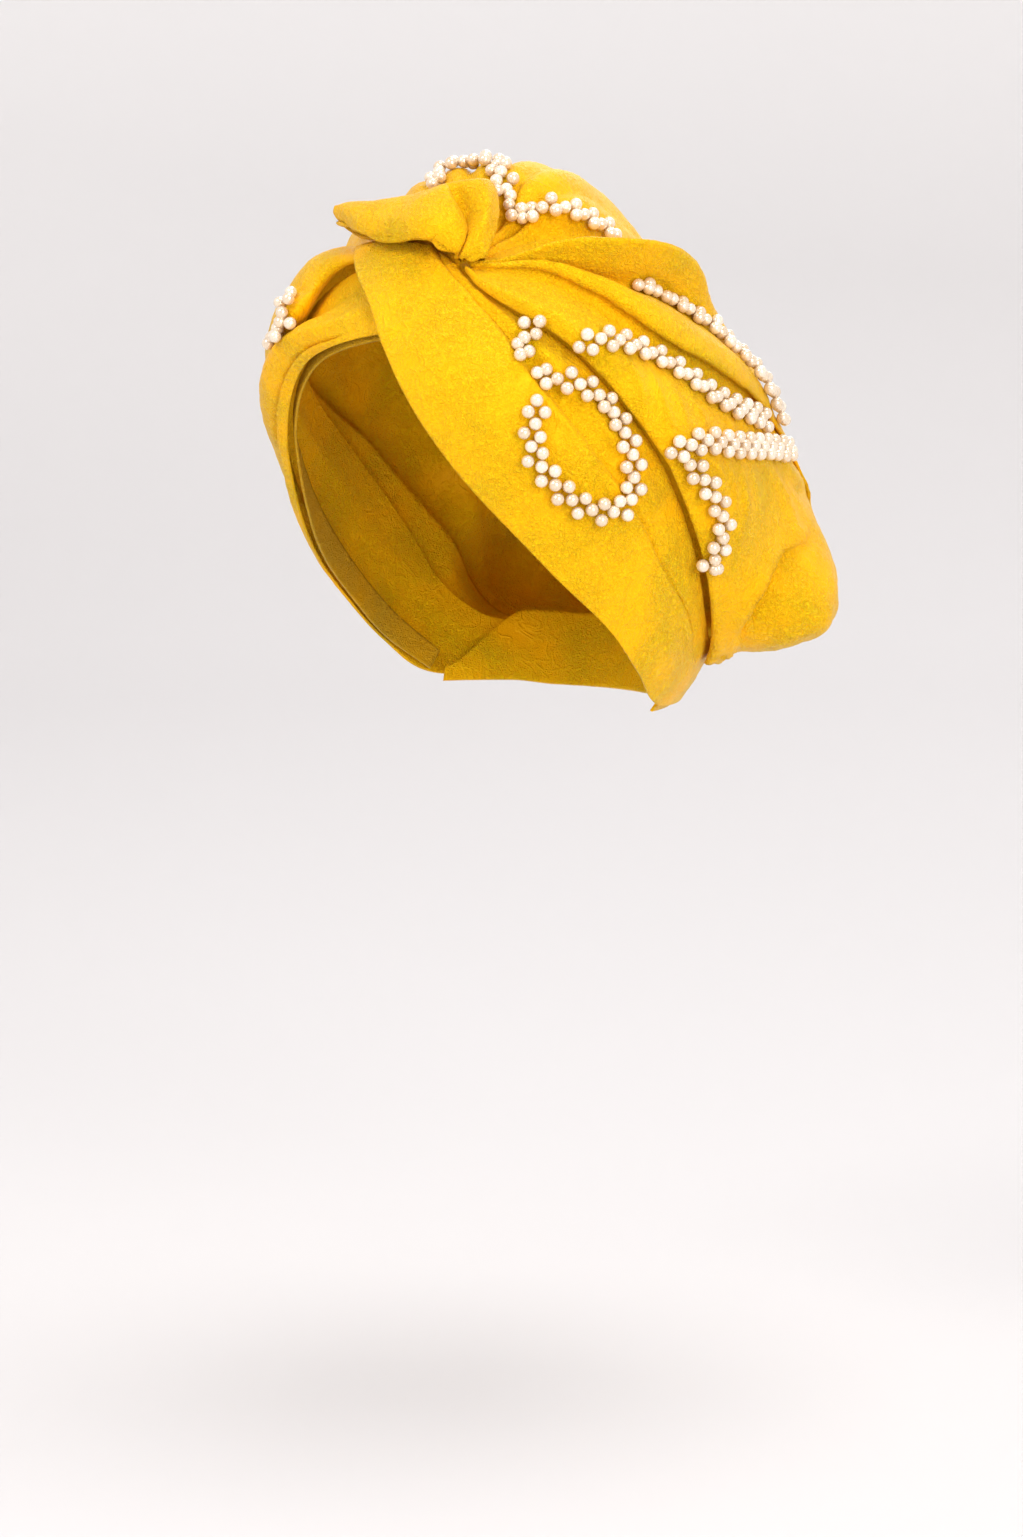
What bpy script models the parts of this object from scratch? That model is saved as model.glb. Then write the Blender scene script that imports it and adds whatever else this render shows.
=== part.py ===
"""Turban head wrap of pleated yellow satin with a front knot and strands of pearls.

Metres, +Z up. The face looks along -Y and the wearer's left is +X.
The origin is the middle of the head at the level of the temples.
"""
import math

import bmesh
import bpy
import numpy as np
from mathutils import Vector
from mathutils.bvhtree import BVHTree

COLLECTION = "turban_head_wrap"
MM = 0.001

# Colours and finishes
SATIN_COLOUR = (0.82, 0.46, 0.01, 1.0)
SATIN_ROUGHNESS = 0.45
HEM_COLOUR = (0.62, 0.33, 0.01, 1.0)
HEM_ROUGHNESS = 0.6
PEARL_COLOUR = (0.87, 0.80, 0.68, 1.0)
PEARL_ROUGHNESS = 0.18

# Head form in mm: an egg that leans forward going up and draws in at the neck
HALF_WIDTH = 80.0
HALF_DEPTH = 82.0
TOP_HEIGHT = 81.0
LOWER_HEIGHT = 140.0
LEAN = 0.21
NECK_IN = 0.57
NECK_TOP = -30.0
NECK_SOFTNESS = 12.0

# Ends of the folds in mm: the knot above the left brow and the middle of the nape
KNOT_AT = (36.2, -58.4, 68.4)
KNOT_RISE = 8.0
NAPE_LEVEL = -88.0
NAPE_RISE = 4.0
GATHER_LEVEL = -71.0
GATHER_RISE = 2.0
OVER_DIRECTION = (0.0, 0.3, 1.0)
BEARING_STEP = 4.0

# Cloth in mm
CLOTH = 1.6
HEM_CLOTH = 1.2
GAP = 0.35
BAND_LEVEL_RISE = 4.0

# Pouch at the back, where the loose cloth hangs out past the head
POUCH = (
    # level as a share of the head form's height, rise in mm, azimuth where it starts and is full
    (-0.495, 0.0, 117.0, 132.0),
    (-0.46, 5.0, 116.0, 131.0),
    (-0.42, 17.0, 113.0, 130.0),
    (-0.34, 33.0, 109.0, 129.0),
    (-0.27, 31.0, 109.0, 130.0),
    (-0.20, 24.0, 112.0, 134.0),
    (-0.12, 13.0, 115.0, 140.0),
    (0.00, 4.0, 114.0, 142.0),
    (0.14, 0.0, 110.0, 140.0),
)

# Folds of the crown from the near side lip over the top to the far side lip.
# Reach runs from 0 at the knot to 1 at the gathered edge over the nape.
FIRST_REACH = 0.06
REACHES = (0.06, 0.12, 0.20, 0.35, 0.45, 0.65, 0.95)
FOLDS = (
    # name, place across, bearing in degrees at each reach, rise in mm at each reach
    ("side_tuck", 0.0, (118, 111, 103, 101, 103, 106, 104), (4.8, 4.8, 4.8, 4.8, 4.8, 5.0, 4.8)),
    ("side_under", 1.0, (124, 116, 108, 106, 108, 111, 109), (4.8, 4.9, 5.0, 5.0, 5.0, 5.2, 5.0)),
    ("side_lip", 1.7, (129, 120.5, 112, 110, 112, 115, 113), (5.8, 6.4, 6.8, 7.0, 7.0, 7.5, 6.0)),
    ("side_crest", 2.7, (122, 114, 106, 104, 106, 109, 107), (7.0, 9.0, 10.0, 10.5, 10.5, 11.0, 8.0)),
    ("side_body", 4.5, (100, 94, 92, 93, 92, 92, 95), (6.0, 7.0, 8.0, 8.0, 8.0, 9.0, 7.0)),
    ("mid_valley", 6.5, (72, 70, 77, 83, 79, 68, 70), (5.0, 5.0, 5.0, 5.0, 5.0, 7.0, 5.0)),
    ("mid_under", 7.4, (65, 62, 69, 75.5, 71, 59, 61), (5.5, 6.2, 6.8, 7.0, 7.0, 8.0, 6.0)),
    ("mid_lip", 8.1, (66, 64.5, 72, 78.5, 74, 62, 64), (6.5, 8.2, 9.5, 10.0, 10.0, 9.5, 7.0)),
    ("mid_crest", 9.2, (62, 60, 66, 71, 67, 56, 58), (7.0, 9.5, 12.0, 12.5, 12.0, 10.0, 7.5)),
    ("ridge_foot", 10.8, (58, 56, 57.5, 52.5, 54, 51, 52), (6.0, 6.5, 6.0, 6.0, 6.5, 7.5, 5.0)),
    ("ridge_face", 11.8, (57, 55, 56.5, 50, 50.5, 47, 48), (6.5, 9.0, 13.0, 13.5, 9.0, 8.5, 6.0)),
    ("ridge", 12.8, (54, 52.5, 54, 46, 45, 42, 44), (7.0, 11.5, 19.5, 21.0, 10.5, 9.0, 7.0)),
    ("ridge_back", 14.0, (46, 45, 46, 38, 38, 36, 38), (6.0, 8.5, 13.0, 14.5, 8.0, 8.0, 6.0)),
    ("top_valley", 16.0, (30, 32, 36, 28, 26, 25, 28), (5.0, 5.5, 5.5, 4.5, 4.0, 7.0, 5.0)),
    ("top_hump", 19.0, (0, 2, 2, -8, -6, -4, 0), (5.0, 5.5, 18.0, 19.5, 12.0, 9.0, 6.0)),
    ("far_valley", 22.0, (-38, -38, -38, -40, -38, -34, -30), (4.5, 5.5, 16.0, 9.0, 7.0, 7.0, 5.0)),
    ("far_fold", 24.5, (-62, -62, -62, -66, -64, -58, -52), (4.2, 4.6, 8.0, 13.0, 11.0, 9.0, 6.0)),
    ("far_dip", 26.3, (-76, -74, -74, -82, -82, -76, -70), (4.0, 4.2, 6.0, 9.0, 8.0, 7.5, 5.0)),
    ("far_crest", 28.3, (-92, -90, -84, -101, -101, -95, -87), (4.0, 4.2, 7.0, 13.0, 12.0, 11.0, 8.0)),
    ("far_lip", 29.4, (-98, -97, -92, -111, -110, -104, -96), (3.6, 3.9, 6.0, 9.0, 9.0, 8.5, 6.0)),
    ("far_under", 30.1, (-95, -94, -89, -107, -106, -100, -92), (3.5, 3.9, 5.0, 5.0, 5.0, 5.2, 5.0)),
    ("far_tuck", 31.0, (-88, -87, -82, -101, -100, -94, -86), (3.5, 3.8, 4.8, 4.8, 4.8, 5.0, 4.8)),
)
CROWN_ROWS = 28
WIDE_PLACE = 1.15

# Bands: a row for each section, as azimuth from the front in degrees and level in mm
# of the opening edge, the crease and the edge under the crown
LEFT_BAND = (
    # edge azimuth, edge level, crease azimuth, crease level, top azimuth, top level
    (-12, 69, 26, 71, 40, 65),
    (8, 55, 41, 57, 50, 56),
    (17, 40, 48, 47, 57, 50),
    (23, 26, 52, 38, 65, 43),
    (30, 9, 56, 28, 71, 34),
    (38, -8, 61, 16, 77, 21),
    (49, -26, 68, 0, 84, 3),
    (60, -41, 76, -18, 90, -17),
    (75, -57, 84, -36, 97, -36),
    (90, -73, 98, -54, 107, -54),
    (107, -86, 113, -71, 120, -66),
    (134, -88, 133, -79, 132, -70),
)
RIGHT_BAND = (
    (22, 45, 16, 60, 16, 66),
    (12, 45, 4, 59, 0, 70),
    (-2, 41, -8, 53, -14, 66),
    (-14, 35, -18, 47, -28, 58),
    (-23, 25, -29, 38, -38, 48),
    (-31, 10, -40, 27, -51, 36),
    (-39, -7, -51, 13, -63, 21),
    (-49, -26, -63, -2, -76, 3),
    (-60, -41, -75, -20, -87, -17),
    (-75, -57, -84, -37, -97, -36),
    (-90, -73, -98, -54, -107, -54),
    (-107, -86, -113, -71, -120, -66),
    (-134, -88, -133, -79, -132, -70),
)
BAND_ROWS = 24

# Rise in mm across each band, from the opening edge at 0 to the edge under the crown at 1
CREASE_PLACE = 0.6
PROFILE_STATIONS = (0.0, 0.12, 0.35, 0.65, 1.0)
BAND_PROFILE = (
    # place across, rise at each of the profile stations
    (0.00, 8.6, 5.6, 2.8, 2.8, 3.0),
    (0.15, 8.4, 5.8, 4.4, 4.2, 3.2),
    (0.35, 7.6, 6.2, 6.0, 5.2, 3.4),
    (0.54, 6.8, 6.0, 6.4, 4.8, 3.2),
    (0.60, 6.4, 5.6, 5.4, 4.4, 3.0),
    (0.66, 5.6, 4.2, 3.6, 4.0, 2.8),
    (0.80, 4.2, 4.4, 6.0, 4.0, 2.6),
    (0.90, 2.8, 2.9, 3.6, 2.9, 2.6),
    (1.00, 2.4, 2.3, 2.3, 2.4, 2.5),
)
ROLL_PROFILE = (
    (0.00, 1.0, 1.4, 3.0, 2.8, 3.0),
    (0.10, 1.0, 1.8, 6.5, 4.0, 3.2),
    (0.25, 1.0, 2.6, 10.5, 6.0, 3.4),
    (0.42, 1.0, 2.6, 11.0, 6.0, 3.2),
    (0.56, 1.0, 1.8, 7.0, 4.2, 2.8),
    (0.64, 1.0, 1.4, 3.0, 3.0, 2.6),
    (0.80, 1.0, 1.4, 2.6, 2.6, 2.6),
    (0.90, 1.0, 1.4, 2.4, 2.5, 2.6),
    (1.00, 1.0, 1.4, 2.3, 2.4, 2.5),
)

# Hem folded in behind the opening edge
HEM_RISE = -0.5
HEM_COLUMNS = 40
HEM_ROWS = 3
HEM_SHARE = 0.42
HEM_START_RIGHT = -0.07
HEM_START_LEFT = 0.08

# Knot: sections of the hollow lobe, from its root to its open tip
KNOT_LOOP = (
    # centre in mm, half height off the head, half width along the head
    (36, -57, 76, 2.6, 3.5),
    (37, -60, 79, 6.6, 8.0),
    (32, -62.5, 82, 8.6, 10.6),
    (25, -65, 82.5, 8.6, 11.6),
    (15, -68, 82, 7.7, 11.0),
    (1, -68.6, 83, 6.2, 7.8),
    (-11, -67, 84, 4.6, 6.3),
    (-21, -65.2, 84.8, 3.8, 5.6),
)
LOOP_SIDES = 16
LOOP_ROWS = 14
# The cloth over the knot, in rows from its root up and over
KNOT_WRAP = (
    # hidden foot, valley, crest and outer foot in mm
    ((34, -57, 70), (37, -57, 70), (41, -56, 70), (41, -53, 69)),
    ((30, -52, 76), (36, -51.5, 77), (45, -54, 77), (40, -50, 75)),
    ((23, -49, 83), (32, -50, 84), (44, -53, 83), (36, -46, 81)),
    ((14, -44, 88), (25, -48, 90), (39, -51, 89), (31, -41, 86)),
    ((8, -43, 93), (18, -47, 94), (31, -48, 94), (25, -37, 92)),
    ((10, -40, 95), (16, -41, 95.5), (24, -41, 95), (24, -36, 94)),
)
WRAP_PLACES = (0.0, 0.3, 0.65, 1.0)
WRAP_ROWS = 13
WRAP_COLUMNS = 9

# Band round the nape, tucked under both band ends
NAPE_SPAN = 112.0
NAPE_EDGE = -91.0
NAPE_TOP = -66.0
NAPE_COLUMNS = 19
NAPE_ROWS = 5
NAPE_BAND_RISE = 2.6
NAPE_TUCK = 2.1
TUCK_FROM = 30.0
TUCK_FULL = 44.0

# Strands of pearls in mm, woven one, two, one, two along their thread
PEARL = 4.6
PITCH = 1.7 * PEARL
SPREAD = 0.62 * PEARL
THREAD = 0.6
PEARL_SEAT = PEARL / 2 + GAP
SEAT_STEPS = 40
SEAT_STEP_OVER = 0.02
DROP_FROM = 60.0
ROUTE_POINTS = 240
ROUTE_SMOOTHING = 4
LOOK_AHEAD = 0.002
STRANDS = (
    # name, route as reach and bearing
    ("pearls_teardrop", ((0.345, 133), (0.36, 125), (0.395, 118), (0.45, 117.5), (0.52, 120), (0.59, 123.5),
                         (0.65, 128), (0.675, 134), (0.665, 141), (0.62, 146), (0.55, 147), (0.48, 142),
                         (0.42, 138))),
    ("pearls_short", ((0.30, 134.5), (0.26, 129), (0.225, 121), (0.215, 114))),
    ("pearls_arc", ((0.29, 110), (0.291, 101), (0.316, 92), (0.36, 87), (0.41, 85.5), (0.47, 84),
                    (0.53, 78.5), (0.60, 69))),
    ("pearls_side", ((0.56, 113.5), (0.545, 108), (0.54, 102), (0.56, 96.5), (0.59, 88), (0.63, 78),
                     (0.69, 65))),
    ("pearls_drop", ((0.59, 111.5), (0.62, 110), (0.66, 109.5), (0.70, 110.5), (0.735, 113), (0.775, 115.5))),
    ("pearls_ridge", ((0.28, 56), (0.33, 54), (0.38, 53.5), (0.43, 54), (0.48, 56), (0.54, 58), (0.65, 58))),
    ("pearls_top", ((0.18, -44), (0.235, -34), (0.215, -22), (0.18, -13), (0.15, -4), (0.14, 5),
                    (0.16, 13), (0.195, 18.5), (0.24, 22.5), (0.285, 25))),
    ("pearls_far", ((0.32, -104), (0.35, -110), (0.39, -114), (0.42, -112))),
)


def smooth_curve(x, stations, values):
    """Values of the smooth curve through the values at the stations (Catmull-Rom)."""
    stations = np.asarray(stations, float)
    values = np.asarray(values, float)
    x = np.clip(np.asarray(x, float), stations[0], stations[-1])
    slopes = np.empty_like(values)
    steps = np.diff(stations)
    lead = (slice(None),) + (None,) * (values.ndim - 1)
    rises = np.diff(values, axis=0) / steps[lead]
    slopes[0] = rises[0]
    slopes[-1] = rises[-1]
    before = steps[:-1][lead]
    after = steps[1:][lead]
    slopes[1:-1] = (rises[:-1] * after + rises[1:] * before) / (before + after)
    k = np.clip(np.searchsorted(stations, x, side="right") - 1, 0, len(steps) - 1)
    h = steps[k]
    w = (x - stations[k]) / h
    lift = (Ellipsis,) + (None,) * (values.ndim - 1)
    w = w[lift]
    h = h[lift]
    a = (1 + 2 * w) * (1 - w) ** 2
    b = w * (1 - w) ** 2 * h
    c = w * w * (3 - 2 * w)
    d = w * w * (w - 1) * h
    return a * values[k] + b * slopes[k] + c * values[k + 1] + d * slopes[k + 1]


def ease(x, low, high):
    """0 below low, 1 above high, and a smooth step between."""
    w = np.clip((np.asarray(x, float) - low) / (high - low), 0.0, 1.0)
    return w * w * (3 - 2 * w)


def axis_shift(z):
    """Depth of the head form's axis at a level."""
    drop = np.clip((NECK_TOP - z) / NECK_SOFTNESS, -40.0, 40.0)
    return -LEAN * z - NECK_IN * NECK_SOFTNESS * np.log1p(np.exp(drop))


def on_form(q, rise):
    """The point in mm that a unit vector stands for, at a rise above the head form."""
    height = np.where(q[..., 2] > 0, TOP_HEIGHT, LOWER_HEIGHT) + rise
    z = q[..., 2] * height
    x = q[..., 0] * (HALF_WIDTH + rise)
    y = q[..., 1] * (HALF_DEPTH + rise) + axis_shift(z)
    return np.stack([x, y, z], -1)


def to_unit(point, rise):
    """The unit vector of a point at a rise above the head form."""
    x, y, z = point
    height = (TOP_HEIGHT if z > 0 else LOWER_HEIGHT) + rise
    q = np.array([x / (HALF_WIDTH + rise), (y - float(axis_shift(z))) / (HALF_DEPTH + rise), z / height])
    return q / np.linalg.norm(q)


def by_azimuth(azimuth, level):
    """Unit vector at an azimuth in degrees (0 front, 90 wearer's left) and a level in mm."""
    azimuth = np.radians(np.asarray(azimuth, float))
    level = np.asarray(level, float)
    height = np.where(level > 0, TOP_HEIGHT, LOWER_HEIGHT) + BAND_LEVEL_RISE
    qz = np.clip(level / height, -0.999, 0.999)
    flat = np.sqrt(1 - qz * qz)
    return np.stack([np.sin(azimuth) * flat, -np.cos(azimuth) * flat, qz], -1)


class Meridians:
    """Circles on the unit sphere that all run from the knot to the nape."""

    def __init__(self):
        nape_share = NAPE_LEVEL / (LOWER_HEIGHT + NAPE_RISE)
        nape_depth = (HALF_DEPTH + NAPE_RISE) * math.sqrt(1 - nape_share ** 2)
        knot = to_unit(KNOT_AT, KNOT_RISE)
        nape = to_unit((0.0, float(axis_shift(NAPE_LEVEL)) + nape_depth, NAPE_LEVEL), NAPE_RISE)
        chord = nape - knot
        self.half = np.linalg.norm(chord) / 2
        self.middle = (knot + nape) / 2
        self.along = chord / np.linalg.norm(chord)
        over = np.array(OVER_DIRECTION)
        over -= self.along * (over @ self.along)
        self.over = over / np.linalg.norm(over)
        self.side = np.cross(self.along, self.over)
        self.bearings = np.radians(np.arange(-180.0, 180.0 + BEARING_STEP, BEARING_STEP))
        self.ends = self.gather_ends()

    def point(self, share, bearing):
        """Unit vector at a share of the way from knot to nape on a bearing in radians."""
        share, bearing = np.broadcast_arrays(np.asarray(share, float), np.asarray(bearing, float))
        out = np.cos(bearing)[..., None] * self.over + np.sin(bearing)[..., None] * self.side
        offset = -(out @ self.middle)
        radius = np.sqrt(1 - self.middle @ self.middle + offset ** 2)
        start = np.arctan2(-offset, -self.half)
        start = np.where(start < 0, start + 2 * np.pi, start)
        end = np.arctan2(-offset, self.half)
        end = np.where(end > start, end - 2 * np.pi, end)
        turn = start + (end - start) * share
        q = (self.middle + (radius * np.cos(turn))[..., None] * self.along
             + (offset + radius * np.sin(turn))[..., None] * out)
        return q / np.linalg.norm(q, axis=-1, keepdims=True)

    def gather_ends(self):
        """Share of each meridian at which it comes down to the gathered edge."""
        low = np.full_like(self.bearings, 0.2)
        high = np.full_like(self.bearings, 0.999)
        for _ in range(30):
            mid = (low + high) / 2
            above = on_form(self.point(mid, self.bearings), GATHER_RISE)[..., 2] > GATHER_LEVEL
            low = np.where(above, mid, low)
            high = np.where(above, high, mid)
        return low

    def reach(self, reach, bearing):
        """Unit vector at a reach, 0 at the knot and 1 at the gathered edge."""
        bearing = np.radians(bearing)
        return self.point(reach * np.interp(bearing, self.bearings, self.ends), bearing)


MERIDIANS = Meridians()


def pouch_rise(q):
    """Extra rise of the loose cloth at the back."""
    azimuth = np.degrees(np.arctan2(np.abs(q[..., 0]), -q[..., 1]))
    table = np.array(POUCH)
    row = smooth_curve(q[..., 2], table[:, 0], table[:, 1:])
    return row[..., 0] * ease(azimuth, row[..., 1], row[..., 2])


def crown_surface(reaches, places):
    """Grid of points of the crown, a row for each reach and a column for each place."""
    marks = [fold[1] for fold in FOLDS]
    bearings = smooth_curve(reaches, REACHES, np.array([fold[2] for fold in FOLDS]).T)
    rises = smooth_curve(reaches, REACHES, np.array([fold[3] for fold in FOLDS]).T)
    bearing = smooth_curve(places, marks, bearings.T).T
    rise = smooth_curve(places, marks, rises.T).T
    q = MERIDIANS.reach(reaches[:, None], bearing)
    return on_form(q, rise + pouch_rise(q))


def band_surface(table, profile):
    """Grid of points of a band, from its opening edge to the edge under the crown."""
    table = np.array(table, float)
    stations = np.linspace(0.0, 1.0, len(table))
    along = np.linspace(0.0, 1.0, BAND_ROWS)
    section = smooth_curve(along, stations, table)
    across = np.array([p[0] for p in profile])
    rises = np.array([p[1:] for p in profile])
    edge = by_azimuth(section[:, 0], section[:, 1])
    crease = by_azimuth(section[:, 2], section[:, 3])
    top = by_azimuth(section[:, 4], section[:, 5])
    q = smooth_curve(across, (0.0, CREASE_PLACE, 1.0), np.stack([edge, crease, top]))
    q = np.transpose(q, (1, 0, 2))
    q /= np.linalg.norm(q, axis=-1, keepdims=True)
    rise = smooth_curve(along, PROFILE_STATIONS, rises.T)
    return on_form(q, rise)


def add_object(name, data, colour, roughness):
    """Put an object of its own material into the collection."""
    material = bpy.data.materials.new(name)
    material.use_nodes = True
    shader = material.node_tree.nodes["Principled BSDF"]
    shader.inputs["Base Color"].default_value = colour
    shader.inputs["Roughness"].default_value = roughness
    shader.inputs["Metallic"].default_value = 0.0
    data.materials.append(material)
    obj = bpy.data.objects.new(name, data)
    bpy.data.collections[COLLECTION].objects.link(obj)
    return obj


def add_wall(name, grid, closed=False, thickness=CLOTH, colour=SATIN_COLOUR, roughness=SATIN_ROUGHNESS):
    """A cloth wall through a grid of points in mm, closed round its rows for a tube."""
    rows, columns = grid.shape[:2]
    faces = []
    for i in range(rows - 1):
        for j in range(columns if closed else columns - 1):
            k = (j + 1) % columns
            faces.append((i * columns + j, i * columns + k, (i + 1) * columns + k, (i + 1) * columns + j))
    mesh = bpy.data.meshes.new(name)
    mesh.from_pydata((grid.reshape(-1, 3) * MM).tolist(), [], faces)
    mesh.shade_smooth()
    obj = add_object(name, mesh, colour, roughness)
    wall = obj.modifiers.new("wall", "SOLIDIFY")
    wall.thickness = thickness * MM
    wall.offset = 0.0
    return obj


def make_crown():
    """Pleated cloth over the head, with a column on every mark of the folds and between wide ones."""
    marks = [fold[1] for fold in FOLDS]
    places = []
    for a, b in zip(marks[:-1], marks[1:]):
        places.append(a)
        if b - a > WIDE_PLACE:
            places.append((a + b) / 2)
    places.append(marks[-1])
    return add_wall("crown", crown_surface(np.linspace(FIRST_REACH, 1.0, CROWN_ROWS), np.array(places)))


def make_left_band():
    """Wide flat band with the side panel above its crease."""
    return add_wall("left_band", band_surface(LEFT_BAND, BAND_PROFILE))


def make_right_band():
    """Rolled band with its side panel."""
    return add_wall("right_band", band_surface(RIGHT_BAND, ROLL_PROFILE)[:, ::-1])


def make_inner_band():
    """Hem folded inside the opening, from nape to nape round the front."""
    right = [row[:4] + (HEM_START_RIGHT,) for row in reversed(RIGHT_BAND[1:-1])]
    left = [row[:4] + (HEM_START_LEFT,) for row in LEFT_BAND[2:-1]]
    table = np.array(right + left, float)
    section = smooth_curve(np.linspace(0.0, 1.0, HEM_COLUMNS), np.linspace(0.0, 1.0, len(table)), table)
    edge = by_azimuth(section[:, 0], section[:, 1])
    crease = by_azimuth(section[:, 2], section[:, 3])
    share = (section[:, 4:5] + np.linspace(0.0, HEM_SHARE, HEM_ROWS))[..., None]
    q = edge[:, None] * (1 - share) + crease[:, None] * share
    q /= np.linalg.norm(q, axis=-1, keepdims=True)
    return add_wall("inner_band", on_form(q, HEM_RISE), False, HEM_CLOTH, HEM_COLOUR, HEM_ROUGHNESS)


def make_nape_band():
    """Narrow band round the nape, lower where it runs under the band ends."""
    azimuth, level = np.meshgrid(np.linspace(NAPE_SPAN, 360.0 - NAPE_SPAN, NAPE_COLUMNS),
                                 np.linspace(NAPE_EDGE, NAPE_TOP, NAPE_ROWS), indexing="ij")
    tuck = ease(np.abs(180.0 - azimuth), TUCK_FROM, TUCK_FULL)
    return add_wall("nape_band", on_form(by_azimuth(azimuth, level), NAPE_BAND_RISE - NAPE_TUCK * tuck))


def form_normal(point):
    """Outward direction of the head form near a point in mm."""
    x, y, z = point
    height = TOP_HEIGHT if z > 0 else LOWER_HEIGHT
    normal = np.array([x / HALF_WIDTH ** 2, (y - float(axis_shift(z))) / HALF_DEPTH ** 2, z / height ** 2])
    return normal / np.linalg.norm(normal)


def make_knot_loop():
    """Hollow lobe of the knot, open at its free end."""
    table = np.array(KNOT_LOOP, float)
    stations = np.linspace(0.0, 1.0, len(table))
    sections = smooth_curve(np.linspace(0.0, 1.0, LOOP_ROWS), stations, table)
    travel = np.gradient(sections[:, :3], axis=0)
    angles = np.linspace(0.0, 2 * np.pi, LOOP_SIDES, endpoint=False)[:, None]
    rings = []
    for section, ahead in zip(sections, travel):
        ahead = ahead / np.linalg.norm(ahead)
        out = form_normal(section[:3])
        out -= ahead * (out @ ahead)
        out /= np.linalg.norm(out)
        side = np.cross(ahead, out)
        rings.append(section[:3] + np.cos(angles) * out * section[3] + np.sin(angles) * side * section[4])
    return add_wall("knot_loop", np.array(rings), closed=True)


def make_knot_wrap():
    """Cloth that comes up from the root of the knot and goes over behind the lobe."""
    table = np.array(KNOT_WRAP, float)
    rows = smooth_curve(np.linspace(0.0, 1.0, WRAP_ROWS), np.linspace(0.0, 1.0, len(table)), table)
    grid = smooth_curve(np.linspace(0.0, 1.0, WRAP_COLUMNS), WRAP_PLACES, rows.transpose(1, 0, 2))
    return add_wall("knot_wrap", grid)


def cloth_tree(objects):
    """Search tree over the finished walls of the cloth."""
    graph = bpy.context.evaluated_depsgraph_get()
    work = bmesh.new()
    for obj in objects:
        work.from_mesh(obj.evaluated_get(graph).to_mesh())
    tree = BVHTree.FromBMesh(work)
    work.free()
    return tree


def drop_on(tree, q):
    """Point of the cloth under a unit vector, in metres."""
    start = Vector(on_form(q, DROP_FROM) * MM)
    end = Vector(on_form(q, 0.0) * MM)
    return np.array(tree.ray_cast(start, (end - start).normalized())[0])


def seat(tree, centre):
    """Move a pearl off the cloth until it only just clears it."""
    centre = Vector(centre)
    for _ in range(SEAT_STEPS):
        spot, _, _, distance = tree.find_nearest(centre)
        if distance >= PEARL_SEAT * MM:
            break
        off = (centre - spot).normalized()
        if off @ Vector(form_normal(np.array(spot) / MM)) < 0:
            off = -off
        centre = spot + off * (PEARL_SEAT + SEAT_STEP_OVER) * MM
    return centre


def smooth_path(points):
    """Running mean of a path, so a strand bridges narrow creases."""
    width = 2 * ROUTE_SMOOTHING + 1
    padded = np.pad(points, ((ROUTE_SMOOTHING, ROUTE_SMOOTHING), (0, 0)), mode="edge")
    columns = [np.convolve(padded[:, k], np.ones(width) / width, "valid") for k in range(3)]
    return np.stack(columns, -1)


def along_path(lengths, values, place):
    """Value at a distance along a path."""
    return np.array([np.interp(place, lengths, values[:, k]) for k in range(3)])


def pearl_rows(route, tree):
    """Centres of the pearls as lists of one, then two, along the route."""
    route = np.array(route, float)
    stations = np.linspace(0.0, 1.0, len(route))
    fine = smooth_curve(np.linspace(0.0, 1.0, ROUTE_POINTS), stations, route)
    spots = np.array([drop_on(tree, MERIDIANS.reach(np.array(a), np.array(b))) for a, b in fine])
    normals = np.array([form_normal(spot / MM) for spot in spots])
    points = smooth_path(spots + normals * PEARL_SEAT * MM)
    lengths = np.concatenate([[0.0], np.cumsum(np.linalg.norm(np.diff(points, axis=0), axis=1))])
    count = int(lengths[-1] / (PITCH / 2 * MM))
    rows = []
    for k in range(count + 1):
        place = lengths[-1] * k / count
        centre = along_path(lengths, points, place)
        ahead = along_path(lengths, points, place + LOOK_AHEAD)
        ahead -= along_path(lengths, points, place - LOOK_AHEAD)
        side = np.cross(along_path(lengths, normals, place), ahead)
        side *= SPREAD * MM / np.linalg.norm(side)
        if k % 2 == 0:
            rows.append([seat(tree, centre)])
        else:
            rows.append([seat(tree, centre + side), seat(tree, centre - side)])
    return rows


def make_strand(name, route, tree):
    """Pearls as one rod of beads that runs out along one side and back along the other."""
    rows = pearl_rows(route, tree)
    centres = [row[0] for row in rows] + [row[1] for row in reversed(rows) if len(row) == 2]
    thin = THREAD / PEARL
    first_cap = centres[0] + (centres[0] - centres[1]).normalized() * PEARL / 2 * MM
    last_cap = centres[-1] + (centres[-1] - centres[-2]).normalized() * PEARL / 2 * MM
    knots = [(first_cap, thin)]
    for here, after in zip(centres[:-1], centres[1:]):
        knots += [(here, 1.0), ((here + after) / 2, thin)]
    knots += [(centres[-1], 1.0), (last_cap, thin)]
    curve = bpy.data.curves.new(name, "CURVE")
    curve.dimensions = "3D"
    curve.bevel_depth = PEARL / 2 * MM
    curve.bevel_resolution = 1
    curve.use_fill_caps = True
    spline = curve.splines.new("POLY")
    spline.points.add(len(knots) - 1)
    for point, (place, share) in zip(spline.points, knots):
        point.co = (*place, 1.0)
        point.radius = share
    add_object(name, curve, PEARL_COLOUR, PEARL_ROUGHNESS)


def main():
    for obj in list(bpy.data.objects):
        bpy.data.objects.remove(obj, do_unlink=True)
    bpy.context.scene.collection.children.link(bpy.data.collections.new(COLLECTION))
    cloth = [make_crown(), make_left_band(), make_right_band(), make_inner_band(), make_nape_band(),
             make_knot_loop(), make_knot_wrap()]
    tree = cloth_tree(cloth)
    for name, route in STRANDS:
        make_strand(name, route, tree)


main()
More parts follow.
